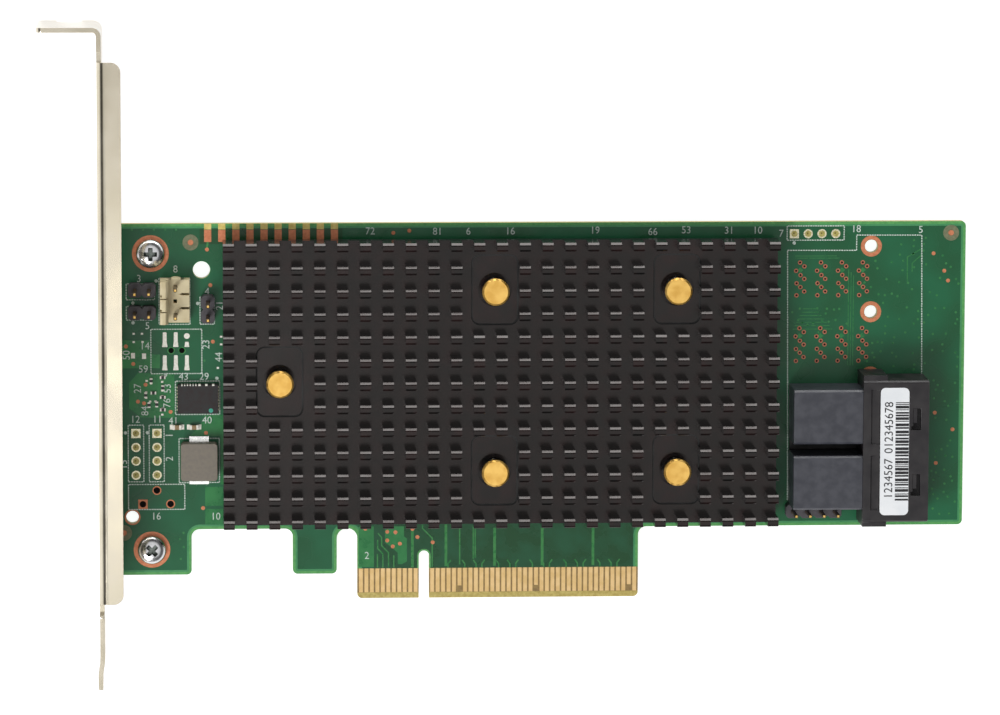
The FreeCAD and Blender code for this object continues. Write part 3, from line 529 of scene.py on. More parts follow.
FINISHES = {
    "pin_gold": make_pin_gold(),
    "anodised": make_anodised(),
    "laminate": make_laminate(),
    # Zinc-plated cold-rolled steel: warm light grey, faintly cloudy
    "steel": mottled("zinc_plated_steel", "b5ad9a", "bfb7a6", 6.0, rough=(0.15, 0.2), relief=(0.5, 0.0005),
                     Metallic=1.0),
    # Glossy epoxy solder mask over the copper planes: deep green with soft cloudy patches
    "mask": mottled("epoxy_mask_over_copper", "285f42", "306a4b", 9.0, rough=(0.25, 0.35),
                    relief=(0.5, 0.001), Specular_IOR_Level=0.4),
    # Glass-epoxy laminate with no mask: straw yellow, and grey-green round the aiming marks
    "bare_glass": mottled("bare_glass_epoxy", "d2bb66", "e4cf80", 0.8, rough=(0.4, 0.5)),
    "target": mottled("mask_free_glass_epoxy", "6e7358", "7f8266", 0.5, rough=(0.45, 0.55)),
    # Rolled bare copper under a clear organic coat: salmon, slightly dull
    "copper": mottled("bare_copper", "c47a58", "d68b67", 0.5, rough=(0.35, 0.5), Metallic=0.2),
    # Etched rings of thin copper: redder and duller than the wide areas
    "via_copper": mottled("copper_ring_round_hole", "ad6a54", "bd7860", 0.4, rough=(0.4, 0.5), Metallic=0.2),
    # Hard gold plating over nickel: pale gold with fine wear
    "gold": mottled("hard_gold_plating", "e3bf83", "ecca93", 1.5, rough=(0.3, 0.42), Metallic=0.4),
    # Nickel-plated machine screw: bright chrome
    "nickel": mottled("nickel_plated_steel", "c4c4c6", "d6d6d8", 1.0, rough=(0.18, 0.26), Metallic=1.0),
    # Punched cross recess: darker, a painted shade in the recess
    "recess": mottled("punched_recess_painted_shade", "5c625e", "7a807c", 0.3, rough=(0.3, 0.45), Metallic=0.7),
    # Turned brass with a dull lacquered top
    "brass": mottled("turned_brass", "cfa14e", "dcb361", 1.6, rough=(0.3, 0.42), relief=(0.5, 0.01),
                     Metallic=0.8),
    # Drawn spring wire: mid grey with a clean gleam
    "spring": mottled("spring_steel_wire", "8e8e8c", "a6a5a2", 1.0, rough=(0.25, 0.35), Metallic=1.0),
    # Moulded liquid-crystal polymer: charcoal, faint mould sheen
    "socket": mottled("moulded_polymer_charcoal", "333133", "3b393a", 2.5, rough=(0.35, 0.48)),
    # Matt black, a painted shade: for dark marks and a floor put where shade falls
    "painted_shade": mottled("painted_shade_black", "1c1b1c", "242324", 2.0, rough=(0.5, 0.6)),
    # Glass-filled polymer of the contact blocks: slate grey, half matt
    "block": mottled("moulded_polymer_slate", "46474d", "505157", 1.6, rough=(0.3, 0.42)),
    # Moulded polymer of the headers: violet grey, matt
    "header": mottled("moulded_polymer_violet_grey", "4a474a", "565357", 1.2, rough=(0.4, 0.55)),
    # Moulded nylon: warm ivory, half matt
    "ivory": mottled("moulded_nylon_ivory", "cfc09a", "dccfab", 2.0, rough=(0.4, 0.5)),
    # Pressed ferrite powder: grey brown and grainy
    "core": mottled("ferrite_core", "7d766d", "867f74", 0.6, rough=(0.5, 0.7), relief=(0.3, 0.01)),
    # Moulded epoxy with mineral filler: matt charcoal
    "package": mottled("moulded_epoxy_package", "2b2624", "37312e", 0.8, rough=(0.45, 0.6)),
    # Fired ceramic: tan and half matt; under a resistor's glaze nearly black
    "capacitor": mottled("barium_titanate_ceramic", "8a7455", "9b8564", 0.5, rough=(0.4, 0.5)),
    "resistor": mottled("glazed_alumina_resistor", "302e30", "3d3b3d", 0.4, rough=(0.4, 0.5)),
    # Controller package: green laminate, plated metal lid, grey rubbery pad
    "substrate": mottled("package_laminate_green", "2c5a3a", "376b46", 2.0, rough=(0.4, 0.5)),
    "lid": mottled("nickel_plated_copper_lid", "a9a8a4", "bdbcb8", 2.0, rough=(0.25, 0.35), Metallic=1.0),
    "pad": mottled("filled_silicone_pad", "8d9094", "9da0a4", 1.0, rough=(0.6, 0.8)),
    # Coated paper, faintly blue white, and the soft black ink on it
    "paper": mottled("coated_label_paper", "e8ebee", "f1f3f5", 3.0, rough=(0.45, 0.55)),
    "ink": mottled("printed_black_ink", "29292c", "37373a", 0.5, rough=(0.5, 0.6)),
    # Screen-printed ink: white, greened a little by the mask below
    "print": mottled("screen_printed_white_ink", "b9c9be", "d9e3db", 0.35, rough=(0.5, 0.6)),
    # Plated hole seen from above: almost no light comes back
    "hole": mottled("plated_hole_shadow", "2a1a14", "33211a", 0.3, rough=(0.8, 0.9), Specular_IOR_Level=0.1),
    # Solder and tin: pale and bright, smoothest where it was rolled on strip
    "solder": mottled("solder_fillet", "bcb69a", "d8d2b4", 0.4, rough=(0.2, 0.35), Metallic=0.6),
    "pad_tin": mottled("hot_air_levelled_tin", "e2dfd3", "f4f1e8", 0.4, rough=(0.3, 0.4), Metallic=0.2),
    "terminal_tin": mottled("tinned_strip", "dededa", "ececea", 0.6, rough=(0.2, 0.3), Metallic=1.0),
    # Gilt barrel of a hole: dull yellow at the lip; brown in its depth, a painted shade
    "barrel": mottled("barrel_in_shade", "6f6330", "857743", 0.2, rough=(0.4, 0.5)),
    "gold_pit": mottled("gold_plated_barrel", "a59a52", "c2b673", 0.4, rough=(0.3, 0.4)),
    # Pad-printed orientation mark: a small teal dot
    "teal": mottled("package_mark_teal", "3d9a84", "4bae96", 0.4, rough=(0.4, 0.5)),
}

# Other solder mask: (finish, what sets its shade, two greens, size of the patches)
MASKS = (
    ("rim_mask", "at_rim", "4c9060", "549867", 4.0),
    ("ground_mask", "by_fingers", "26533a", "2c5b42", 3.0),
    ("pour_mask", "over_pour", "37784a", "408551", 2.0),
    ("trace_mask", "over_trace", "3c7d4a", "4a8b52", 1.0),
    ("faint_mask", "over_buried_track", "38764a", "448350", 1.0),
    ("dark_mask", "over_glass", "1d4d35", "24573b", 2.0),
)
for key, cause, first_green, second_green, patch in MASKS:
    FINISHES[key] = mottled("epoxy_mask_" + cause, first_green, second_green, patch, rough=(0.25, 0.35),
                            Specular_IOR_Level=0.4)


def finish_piece(piece, key):
    """Gives a piece its finish and ties it to the body."""
    give(piece, FINISHES[key])
    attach(piece, BODY)
    return piece


# Board surface

# The notch's two round corners are this much smaller than half its width, so that they don't meet
CORNER_GAP = 0.01
SMALLEST_CORNER = 0.2


def key_notch(gap):
    """The part of the key notch above the fingers, drawn this far outside its edges."""
    half, head = KEY_WIDTH / 2 + gap, KEY_HEIGHT + gap
    turn = half - CORNER_GAP
    return [(half, FINGER_TOP, 0), (half, head, turn), (-half, head, turn), (-half, FINGER_TOP, 0)]


def board_skin_outline(gap):
    """The board's outline, drawn this far inside its edges and kept clear of the fingers."""
    left, right = BOARD_LOW[0] + gap, BOARD_HIGH[0] - gap
    foot, head = BODY_EDGE + gap, BOARD_HIGH[1] - gap
    inner, outer = INNER_RADIUS + gap, max(OUTER_RADIUS - gap, SMALLEST_CORNER)
    tab_foot = LOWER_TAB_EDGE + gap
    corners = [
        (left, head, outer),
        (right, head, outer),
        (right, foot, outer),
        (CONNECTOR_RIGHT - gap, foot, inner),
        (CONNECTOR_RIGHT - gap, FINGER_TOP, 0),
        *key_notch(gap),
        (CONNECTOR_LEFT + gap, FINGER_TOP, 0),
        (CONNECTOR_LEFT + gap, foot, inner),
        (HOOK_RIGHT - gap, foot, inner),
        (HOOK_RIGHT - gap, tab_foot, outer),
        (HOOK_LEFT + gap, tab_foot, outer),
        (HOOK_LEFT + gap, foot, inner),
        (BRACKET_TAB_RIGHT - gap, foot, inner),
        (BRACKET_TAB_RIGHT - gap, tab_foot, outer),
        (left, tab_foot, outer),
    ]
    return rounded_outline(corners)


SCREW_PLACES = ((-49.5, 9.3), (-49.5, 63.5))
TOOLING_HOLE = (-40.3, 60.5)
LOCATING_HOLE = (-53.0, 15.3)
SPARE_PEG_HOLES = ((81.4, 64.37), (81.4, 52.33))
# Holes that stay open right through the board: (places, diameter, sides)
OPEN_HOLES = (((TOOLING_HOLE,), 3.24, 40), ((LOCATING_HOLE,), 2.8, 32), (SPARE_PEG_HOLES, 2.6, 32))
# Skins of mask on the front: (name, gap to the board's edge, height, finish)
FRONT_SKINS = (("rim_mask", 0.5, 0.01, "rim_mask"), ("ground_plane", 0.85, 0.02, "mask"))


def board_skin(name, gap, low, high, key):
    """A skin of mask over one face of the board, left open at the holes and the notch."""
    holes = [hole for sizes in OPEN_HOLES for hole in discs(*sizes)]
    finish_piece(sheet(name, [board_skin_outline(gap)] + holes, low, high), key)


def build_board_skins():
    for name, gap, rise, key in FRONT_SKINS:
        board_skin(name, gap, BOARD_FACE - DIP, BOARD_FACE + rise, key)
    give(nodes["circuit_board"], FINISHES["laminate"])


# Flat shapes on the component face

# How far each layer of flat shapes stands above the board
LAYERS = {"ground": 0.025, "pour": 0.03, "trace": 0.035, "metal": 0.045, "print": 0.06}


def lay(name, key, layer, outlines):
    piece = sheet(name, outlines, BOARD_FACE - DIP, BOARD_FACE + LAYERS[layer])
    return finish_piece(piece, key)


# Copper left bare along the top edge, for an edge plug used in testing
STRIP_START = -39.15
STRIP_PITCH = 2.544
STRIP_WIDTH = 1.3
STRIPS = 10
STRIP_FOOT = 65.57
STRIP_HEAD = 67.75
STRIP_MARGIN = 0.8
STRIP_GROUND_DROP = 0.4
STRIP_GROUND_HEAD = 67.9
STRIP_END_GAP = 0.08
BOARD_EDGE_GAP = 0.02
STRIP_TRACE = ((-39.3, 64.2), (-39.15, 65.6))
STRIP_TRACE_WIDTH = 0.35


def build_top_strips():
    starts = [STRIP_START + STRIP_PITCH * k - STRIP_WIDTH / 2 for k in range(STRIPS)]
    left, right = starts[0] - STRIP_MARGIN, starts[-1] + STRIP_WIDTH + STRIP_MARGIN
    ground = rectangle(left, right, STRIP_FOOT - STRIP_GROUND_DROP, STRIP_GROUND_HEAD)
    lay("strip_ground", "dark_mask", "pour", [ground])
    foot, head = STRIP_HEAD + STRIP_END_GAP, BOARD_HIGH[1] - BOARD_EDGE_GAP
    bare = [rectangle(x, x + STRIP_WIDTH, foot, head) for x in starts]
    lay("strip_ends", "bare_glass", "metal", bare)
    copper = [rectangle(x, x + STRIP_WIDTH, STRIP_FOOT, STRIP_HEAD) for x in starts]
    lay("strip_copper", "copper", "metal", copper)
    trace = stroke(STRIP_TRACE, STRIP_TRACE_WIDTH)
    lay("strip_trace", "trace_mask", "trace", [trace])


# Copper round holes, test points and aiming marks

SPARE_COPPER = (*SPARE_PEG_HOLES, (81.44, 40.33))
DARK_HOLES = ((-48.56, 20.19), (-46.08, 17.69), (-51.10, 17.67))
PLAIN_HOLES = ((-45.85, 45.82), (-43.90, 45.81))
AIMING_MARKS = ((-42.26, 65.49), (95.96, 66.76), (-54.55, 12.41))
TEST_POINTS = (
    (-39.3, 64.2), (-38.7, 57.7), (-38.3, 47.4), (-54.0, 46.6), (-52.7, 43.4), (92.8, 63.0), (94.8, 59.8),
    (95.5, 58.0), (93.4, 33.7), (96.7, 30.6), (93.7, 24.4), (-50.5, 39.6), (-51.9, 36.5), (-50.8, 36.2),
    (-46.0, 34.6), (-39.6, 30.7), (-6.7, 12.3), (-5.2, 12.2), (-6.7, 10.7), (-4.4, 10.1), (-5.7, 9.6),
    (-1.2, 11.3), (1.6, 10.3), (-10.7, 12.9), (-2.1, 12.8), (-35.8, 17.2), (-40.2, 16.9), (-5.6, 67.1),
    (-2.7, 67.5),
)
VIA_START = (68.4, 61.4)
VIA_STEPS = ((0, 0), (0.8, -0.7), (-0.7, -1.5), (0.1, -2.3), (0.8, -3.0), (-0.6, -3.8), (0.1, -4.5),
             (0.8, -5.3), (-0.6, -6.0))
VIA_COLUMNS = 4
VIA_COLUMN_PITCH = 3.82
VIA_GROUPS = 2
VIA_GROUP_DROP = 12.04


def via_places():
    x, y = VIA_START
    return [(x + VIA_COLUMN_PITCH * column + dx, y - VIA_GROUP_DROP * group + dy)
            for group in range(VIA_GROUPS) for column in range(VIA_COLUMNS) for dx, dy in VIA_STEPS]


# Bare copper rings: (places, outer diameter, inner diameter, sides)
COPPER_RINGS = (
    (SCREW_PLACES, 6.65, 4.4, 40),
    (SPARE_COPPER, 3.85, 2.42, 32),
    ((LOCATING_HOLE,), 2.9, 2.36, 24),
    (DARK_HOLES[:2], 1.62, 1.22, 24),
)
SQUARE_PAD = 1.7
SQUARE_PAD_HOLE = 1.2
# Bare copper dots: (places, diameter, sides)
COPPER_DOTS = ((AIMING_MARKS, 1.05, 24), (TEST_POINTS, 0.72, 14))
# Dark discs where holes are, a painted shade: (places, diameter, sides)
PITS = ((via_places(), 0.46, 8), (DARK_HOLES, 1.26, 20), (PLAIN_HOLES, 1.0, 20))
# Other rings: (outer diameter, inner diameter, sides)
VIA_RING = (0.8, 0.4, 12)
AIMING_RING = (2.9, 1.0, 24)
HOLE_RIM = (1.4, 1.02, 24)


def build_copper():
    copper = [outline for sizes in COPPER_RINGS for outline in rings(*sizes)]
    copper += [slab(*DARK_HOLES[2], SQUARE_PAD, SQUARE_PAD), circle(*DARK_HOLES[2], SQUARE_PAD_HOLE)]
    copper += [outline for sizes in COPPER_DOTS for outline in discs(*sizes)]
    lay("bare_copper", "copper", "metal", copper)
    lay("via_rings", "via_copper", "metal", rings(via_places(), *VIA_RING))
    lay("dark_holes", "hole", "trace", [outline for sizes in PITS for outline in discs(*sizes)])
    lay("aiming_rings", "target", "metal", rings(AIMING_MARKS, *AIMING_RING))
    lay("hole_rims", "trace_mask", "trace", rings(PLAIN_HOLES, *HOLE_RIM))


# Tinned holes for plugs that aren't fitted, and tinned pads

LEFT_HOLE_COLUMNS = (-52.3, -48.49)
LEFT_HOLE_ROWS = (30.67, 28.1, 25.6, 23.0)
TOP_HOLE_START = (67.31, 66.67)
TOP_HOLE_PITCH = 2.52
TOP_HOLES = 4
TINNED_SQUARE = 1.66
TINNED_RING = 1.68
TINNED_HOLE = 1.16
BARREL = 1.2
BARREL_SHADE = 0.34
BARREL_SHADE_SHIFT = (-0.1, 0.08)


def build_tinned_holes():
    firsts = [(x, LEFT_HOLE_ROWS[0]) for x in LEFT_HOLE_COLUMNS] + [TOP_HOLE_START]
    others = [(x, y) for x in LEFT_HOLE_COLUMNS for y in LEFT_HOLE_ROWS[1:]]
    others += [shifted(TOP_HOLE_START, (TOP_HOLE_PITCH * k, 0)) for k in range(1, TOP_HOLES)]
    rims = []
    for place in firsts:
        rims += [slab(*place, TINNED_SQUARE, TINNED_SQUARE), circle(*place, TINNED_HOLE)]
    rims += rings(others, TINNED_RING, TINNED_HOLE)
    lay("tinned_rims", "solder", "metal", rims)
    lay("tinned_barrels", "gold_pit", "trace", discs(firsts + others, BARREL, 20))
    # Painted shade: a small brown disc in each barrel, shifted to one side
    shades = [shifted(place, BARREL_SHADE_SHIFT) for place in firsts + others]
    lay("barrel_painted_shades", "barrel", "metal", discs(shades, BARREL_SHADE, 10))


# Pads that widen at the foot: (middle, foot, head) of each
FLARED_PADS = (
    (-47.0, 42.2, 44.95), (-45.0, 42.2, 44.95), (-43.0, 42.2, 44.95),
    (-47.0, 46.45, 49.15), (-45.0, 46.45, 49.15), (-43.0, 46.45, 47.4),
)
# Half the width and the corner radius of such a pad, at its foot, neck and head
FLARE = ((0.5, 0.08), (0.36, 0.08), (0.34, 0.15))
NECK_SHARE = 0.35
ROUND_PAD = (-43.0, 48.45)
ROUND_PAD_SIZE = 1.05
SMALL_PADS = (
    (-47.5, 41.1), (-47.5, 40.1), (-47.5, 38.5), (-47.5, 37.5), (-50.4, 38.2), (-50.4, 37.2),
    (-49.7, 36.5), (-48.7, 36.5), (-49.5, 39.8), (-47.5, 35.2), (-47.5, 34.1), (-52.6, 48.9),
    (-51.1, 48.9), (-52.6, 47.4), (-51.0, 47.4), (-36.8, 48.3), (-36.8, 46.9), (-37.4, 42.6), (-50.3, 40.3),
)
SMALL_PAD_SIZE = (0.42, 0.34)
WIDE_PADS = ((-52.75, 44.9), (-50.75, 44.8))
WIDE_PAD_SIZE = (0.72, 1.0)


def flared_pad(x, foot, head):
    """A tinned pad that widens at its foot."""
    heights = (foot, foot + (head - foot) * NECK_SHARE, head)
    right, left = ([(x + side * half, y, radius) for y, (half, radius) in zip(heights, FLARE)]
                   for side in (1, -1))
    return rounded_outline(right + left[::-1], 3)


def build_pads():
    pads = [flared_pad(*pad) for pad in FLARED_PADS] + [circle(*ROUND_PAD, ROUND_PAD_SIZE, 20)]
    pads += [slab(*place, *SMALL_PAD_SIZE) for place in SMALL_PADS]
    pads += [slab(*place, *WIDE_PAD_SIZE) for place in WIDE_PADS]
    lay("tinned_pads", "pad_tin", "metal", pads)


# Copper areas and tracks seen through the mask

POURS = (
    ((-54.8, 42.6), (-47.9, 42.6), (-47.8, 45.1), (-49.0, 45.1), (-49.7, 45.5), (-49.7, 47.7),
     (-54.8, 47.7)),
    ((-53.5, 39.9), (-53.5, 35.3), (-51.4, 33.6), (-45.3, 33.5), (-45.3, 41.7), (-51.9, 41.7)),
    rectangle(-39.8, -36.6, 17.3, 20.8),
    rectangle(-39.8, -36.6, 13.9, 16.7),
    ((-42.6, 30.1), (-37.0, 30.1), (-37.0, 21.2), (-36.4, 21.2), (-36.4, 34.0), (-40.0, 34.0),
     (-40.0, 33.0)),
    rectangle(-11.9, -9.14, 5.85, 13.3),
    ((-7.12, 10.34), (-5.88, 9.43), (-4.79, 8.42), (-4.79, 6.32), (-4.0, 6.31), (-3.11, 6.81),
     (-3.11, 11.02), (-3.64, 11.42), (-3.64, 13.3), (-5.48, 13.3), (-5.48, 12.95), (-7.12, 12.95)),
)
# Corners of the small pours between the rings, and how far below the first ring they lie
DIAMOND = ((0, -0.5), (0.6, 0), (0, 0.5), (-0.5, 0))
DIAMOND_DROPS = (1.4, 4.4)
GROUND_LEFT = -9.1
GROUND_RIGHT = 38.2
GROUND_HEAD = 13.6
GROUND_NOTCH_GAP = 0.3


def build_pours():
    x, y = VIA_START
    pours = list(POURS)
    for group in range(VIA_GROUPS):
        for column in range(VIA_COLUMNS):
            for drop in DIAMOND_DROPS:
                place = (x + VIA_COLUMN_PITCH * column, y - VIA_GROUP_DROP * group - drop)
                pours.append([shifted(place, corner) for corner in DIAMOND])
    lay("copper_pours", "pour_mask", "pour", pours)
    ground = [(GROUND_LEFT, GROUND_HEAD, 0), (GROUND_RIGHT, GROUND_HEAD, 0), (GROUND_RIGHT, FINGER_TOP, 0),
              *key_notch(GROUND_NOTCH_GAP), (GROUND_LEFT, FINGER_TOP, 0)]
    skin = sheet("finger_ground", [rounded_outline(ground)], BOARD_FACE, BOARD_FACE + LAYERS["ground"])
    finish_piece(skin, "ground_mask")


FINGER_TRACKS = (
    ((-8.39, 12.05), (-7.72, 11.25), (-7.72, 9.75), (-6.47, 8.43), (-6.47, 5.7)),
    ((-8.45, 10.85), (-8.45, 9.25), (-7.5, 8.24), (-7.5, 5.7)),
    ((-8.49, 8.2), (-8.49, 5.7)),
    ((-5.5, 7.93), (-5.5, 5.7)),
    ((-0.28, 13.6), (-0.28, 12.9), (1.5, 11.09), (1.5, 5.7)),
    ((6.52, 13.6), (6.52, 6.2)),
    ((9.0, 13.6), (9.0, 7.2)),
    ((9.36, 12.74), (9.36, 7.4)),
)
FINGER_TRACK_WIDTH = 0.24
WIDE_TRACKS = (
    ((-2.12, 12.81), (-2.12, 5.7)),
    ((4.01, 13.6), (4.01, 5.9)),
    ((12.9, 12.9), (12.9, 5.9)),
    ((21.6, 12.9), (21.6, 5.9)),
    ((30.9, 13.4), (30.9, 5.9)),
)
WIDE_TRACK_WIDTH = 0.5
JOG_START = 4.9
JOG_COUNT = 16
JOG_PITCH = 2.06
JOG_LEAN = 0.5
JOG_HEIGHTS = (7.0, 6.3, 5.6)
RIGHT_TRACKS = (
    ((88.05, 57.87), (88.0, 62.34), (90.65, 63.89)),
    ((88.92, 59.66), (88.9, 61.22), (90.66, 62.77)),
)
RIGHT_TRACK_WIDTH = 0.2
# Sets of close tracks: (ends of the first, how far each end moves from track to track, count)
TRACK_SETS = (
    ((77.3, 42.5), (77.3, 60.2), (0.45, 0), (0.45, -0.6), 3),
    ((67.2, 49.2), (74.4, 49.2), (0.3, 0.62), (-0.5, 0.62), 7),
    ((67.5, 62.2), (75.6, 62.2), (0, 0.4), (-0.5, 0.4), 2),
)
SET_TRACK_WIDTH = 0.14


def build_tracks():
    tracks = [stroke(line, FINGER_TRACK_WIDTH) for line in FINGER_TRACKS]
    tracks += [stroke(line, WIDE_TRACK_WIDTH) for line in WIDE_TRACKS]
    lay("finger_tracks", "trace_mask", "trace", tracks)
    jogs = []
    high, middle, low = JOG_HEIGHTS
    for k in range(JOG_COUNT):
        x = JOG_START + JOG_PITCH * k
        end = x + (JOG_LEAN if k % 3 else -JOG_LEAN)
        jogs.append(stroke([(x, high), (end, middle), (end, low)], FINGER_TRACK_WIDTH))
    lay("finger_jogs", "trace_mask", "metal", jogs)
    faint = [stroke(line, RIGHT_TRACK_WIDTH) for line in RIGHT_TRACKS]
    for *ends, start_step, end_step, count in TRACK_SETS:
        for k in range(count):
            line = [(x + dx * k, y + dy * k) for (x, y), (dx, dy) in zip(ends, (start_step, end_step))]
            faint.append(stroke(line, SET_TRACK_WIDTH))
    lay("faint_tracks", "faint_mask", "trace", faint)


# Small holes hidden by the mask: (left, right, foot, head, count) of each scattered area
FILLED_HOLE_AREAS = (
    (79.5, 97.8, 41.0, 66.0, 120), (67.0, 78.0, 47.5, 53.5, 30), (92.8, 97.6, 14.5, 40.0, 45),
    (-45.0, -43.2, 4.9, 12.5, 4), (-40.4, -38.4, 42.0, 50.0, 6),
)
FILLED_HOLE_SEED = 7
FILLED_HOLE = 0.46
RING_CLEARANCE = 2.6
HOLE_CLEARANCE = 0.8
EDGE_HOLES = tuple((x, 67.83) for x in (-52.8, -50.8, -48.85, -46.8, -44.85))
EDGE_HOLE = 0.4


def close_to(place, others, distance):
    return any(math.hypot(place[0] - x, place[1] - y) < distance for x, y in others)


def build_filled_holes():
    chance = random.Random(FILLED_HOLE_SEED)
    filled = []
    taken = list(TEST_POINTS) + via_places()
    for left, right, foot, head, count in FILLED_HOLE_AREAS:
        for _ in range(count):
            place = (chance.uniform(left, right), chance.uniform(foot, head))
            near_ring = close_to(place, SPARE_COPPER + AIMING_MARKS, RING_CLEARANCE)
            if not near_ring and not close_to(place, taken, HOLE_CLEARANCE):
                taken.append(place)
                filled.append(place)
    dots = discs(filled, FILLED_HOLE, 8) + discs(EDGE_HOLES, EDGE_HOLE, 8)
    lay("filled_holes", "faint_mask", "trace", dots)


# White screen print: frames, pin marks and plain numbers

LINE = 0.19
FRAMES = (
    (-53.7, -50.9, 21.8, 32.2), (-49.9, -47.2, 21.8, 32.2), (-53.7, -43.5, 16.7, 21.3),
    (-49.5, -40.3, 41.6, 49.7), (-45.1, -37.1, 34.1, 40.2), (66.0, 76.4, 65.5, 68.1),
    (-53.9, -48.8, 55.1, 58.0), (-53.9, -49.1, 51.4, 53.9), (-48.0, -42.4, 50.6, 59.0),
    (-40.6, -38.0, 50.6, 55.6), (-44.5, -37.2, 21.6, 29.7),
)
SOCKET_OUTLINE = ((66.5, 17.7), (66.1, 63.65), (78.7, 63.6), (78.7, 66.4), (90.6, 66.35), (90.9, 40.1))
CORNER_MARK = ((82.2, 13.9), (82.2, 12.9))
PIN_MARKS = ((-48.5, 58.5), (-41.0, 54.4), (-46.9, 41.3), (-37.6, 40.7), (-52.7, 54.5), (-52.7, 50.9),
             (-54.2, 30.8), (-50.2, 30.8), (67.3, 65.0))
PIN_MARK = 0.62
# Plain numbers by the parts: (number, x, y) of the ones that stand, then of the ones on their side
STANDING_NUMBERS = (
    (3, -51.6, 58.9), (8, -45.0, 60.6), (4, -39.3, 56.5), (5, -50.1, 50.3), (14, -50.6, 46.6),
    (59, -50.9, 42.4), (43, -43.6, 41.0), (29, -39.9, 41.0), (41, -45.5, 32.9), (40, -39.4, 33.0),
    (12, -52.4, 33.2), (11, -48.4, 33.2), (16, -48.7, 15.4), (10, -37.9, 15.3), (7, 64.9, 66.7),
    (5, 90.4, 67.3), (18, 78.6, 67.5), (72, -9.8, 67.4), (81, 2.4, 67.3), (6, 8.0, 67.3), (16, 15.6, 67.3),
    (19, 31.0, 67.4), (66, 41.5, 67.1), (53, 47.6, 67.4), (31, 55.4, 67.3), (10, 60.6, 67.3),
    (2, -10.4, 7.9),
)
TURNED_NUMBERS = (
    (21, -37.0, 54.0), (23, -39.5, 46.9), (44, -37.2, 44.6), (50, -53.9, 45.0), (27, -51.9, 38.9),
    (84, -50.6, 34.8), (53, -46.5, 38.9), (76, -46.6, 36.2), (1, -46.2, 30.3), (2, -46.2, 26.0),
    (15, -54.5, 25.0),
)
NUMBER_HEIGHT = 1.35
# Width of a number as a share of the font's own
NUMBER_REACH = 0.95
NUMBER_THICKNESS = 0.01
# Height of a digit as a share of the font's size
DIGIT_SHARE = 0.72


def number_piece(number, x, y, sideways=False, height=NUMBER_HEIGHT, level=BOARD_FACE + LAYERS["print"]):
    """A plain number, drawn flat and then made a thin solid."""
    only()
    bpy.ops.object.text_add()
    drawn = bpy.context.object
    drawn.data.body = str(number)
    drawn.data.align_x = "CENTER"
    drawn.data.align_y = "CENTER"
    drawn.data.size = height / DIGIT_SHARE * MM
    drawn.data.resolution_u = 3
    drawn.data.extrude = NUMBER_THICKNESS * MM
    bpy.ops.object.convert(target="MESH")
    piece = bpy.context.object
    piece.scale.x = NUMBER_REACH
    piece.rotation_euler.z = math.radians(90 if sideways else 0)
    piece.location = (x * MM, y * MM, level * MM)
    return settle(piece, "number")


def build_print():
    dots = []
    for frame_sides in FRAMES:
        corners = rectangle(*frame_sides)
        dots += dashes(corners + corners[:1], LINE)
    dots += dashes(SOCKET_OUTLINE, LINE)
    lay("print_dotted_lines", "print", "print", dots)
    marks = discs(PIN_MARKS, PIN_MARK, 14) + [stroke(CORNER_MARK, LINE)]
    lay("print_marks", "print", "print", marks)
    numbers = [number_piece(*entry) for entry in STANDING_NUMBERS]
    numbers += [number_piece(*entry, sideways=True) for entry in TURNED_NUMBERS]
    finish_piece(join("print_numbers", numbers), "print")


def build_board_surface():
    build_top_strips()
    build_copper()
    build_tinned_holes()
    build_pads()
    build_pours()
    build_tracks()
    build_filled_holes()
    build_print()


# Heat sink

def nearest(starts, width, middle, count):
    """Indexes of the pins left out round a place."""
    return set(sorted(range(len(starts)), key=lambda i: abs(starts[i] + width / 2 - middle))[:count])


SEAT_SIDES = 48
POCKET_LINE_RISE = 0.02


def build_sink_base():
    """The sink's base, with a seat, a shallow pocket and a bore at each push pin."""
    base = block("sink_base", SINK_LOW, (*SINK_HIGH[:2], SINK_FLOOR))
    cutters = []
    for x, y in PUSH_PLACES:
        seat = [(SEAT_DIAMETER, SEAT_FLOOR), (SEAT_DIAMETER, SINK_FLOOR + OVER)]
        cutters.append(turned("seat_cutter", (x, y), seat, sides=SEAT_SIDES))
        pocket_low = (x - POCKET_WIDTH / 2, y - POCKET_LENGTH / 2, SINK_FLOOR - POCKET_DEPTH)
        pocket_high = (x + POCKET_WIDTH / 2, y + POCKET_LENGTH / 2, SINK_FLOOR + OVER)
        cutters.append(block("pocket_cutter", pocket_low, pocket_high, rounded=POCKET_CORNER))
        bore = [(SHANK_HOLE, SINK_LOW[2] - OVER), (SHANK_HOLE, SEAT_FLOOR + OVER / 2)]
        cutters.append(turned("bore_cutter", (x, y), bore))
    return carve(base, cutters)


def along_top(edge, top):
    """Whether an edge runs along X at this height."""
    first, second = (vertex.co for vertex in edge.verts)
    return max(abs(first.z - top), abs(second.z - top), abs(first.y - second.y)) < CLOSE


def build_sink_pin():
    """One pin fin: both long edges of its top bevelled, the far one more, and their edges broken."""
    pin = block("sink_pin", (0, 0, SINK_FLOOR - PIN_ROOT), (PIN_LENGTH, PIN_THICKNESS, SINK_HIGH[2]))
    top, middle = SINK_HIGH[2] * MM, PIN_THICKNESS / 2 * MM
    edit(pin)
    for side, bevel in ((1, PIN_BEVEL), (-1, PIN_NEAR_BEVEL)):
        pick(pin, "EDGE", lambda e: along_top(e, top) and side * (e.verts[0].co.y - middle) > 0)
        bpy.ops.mesh.bevel(offset=bevel * MM, segments=1, affect="EDGES")
    pick(pin, "EDGE", lambda e: along_top(e, top))
    bpy.ops.mesh.bevel(offset=PIN_EDGE_BREAK * MM, segments=1, affect="EDGES")
    leave_edit()
    return pin


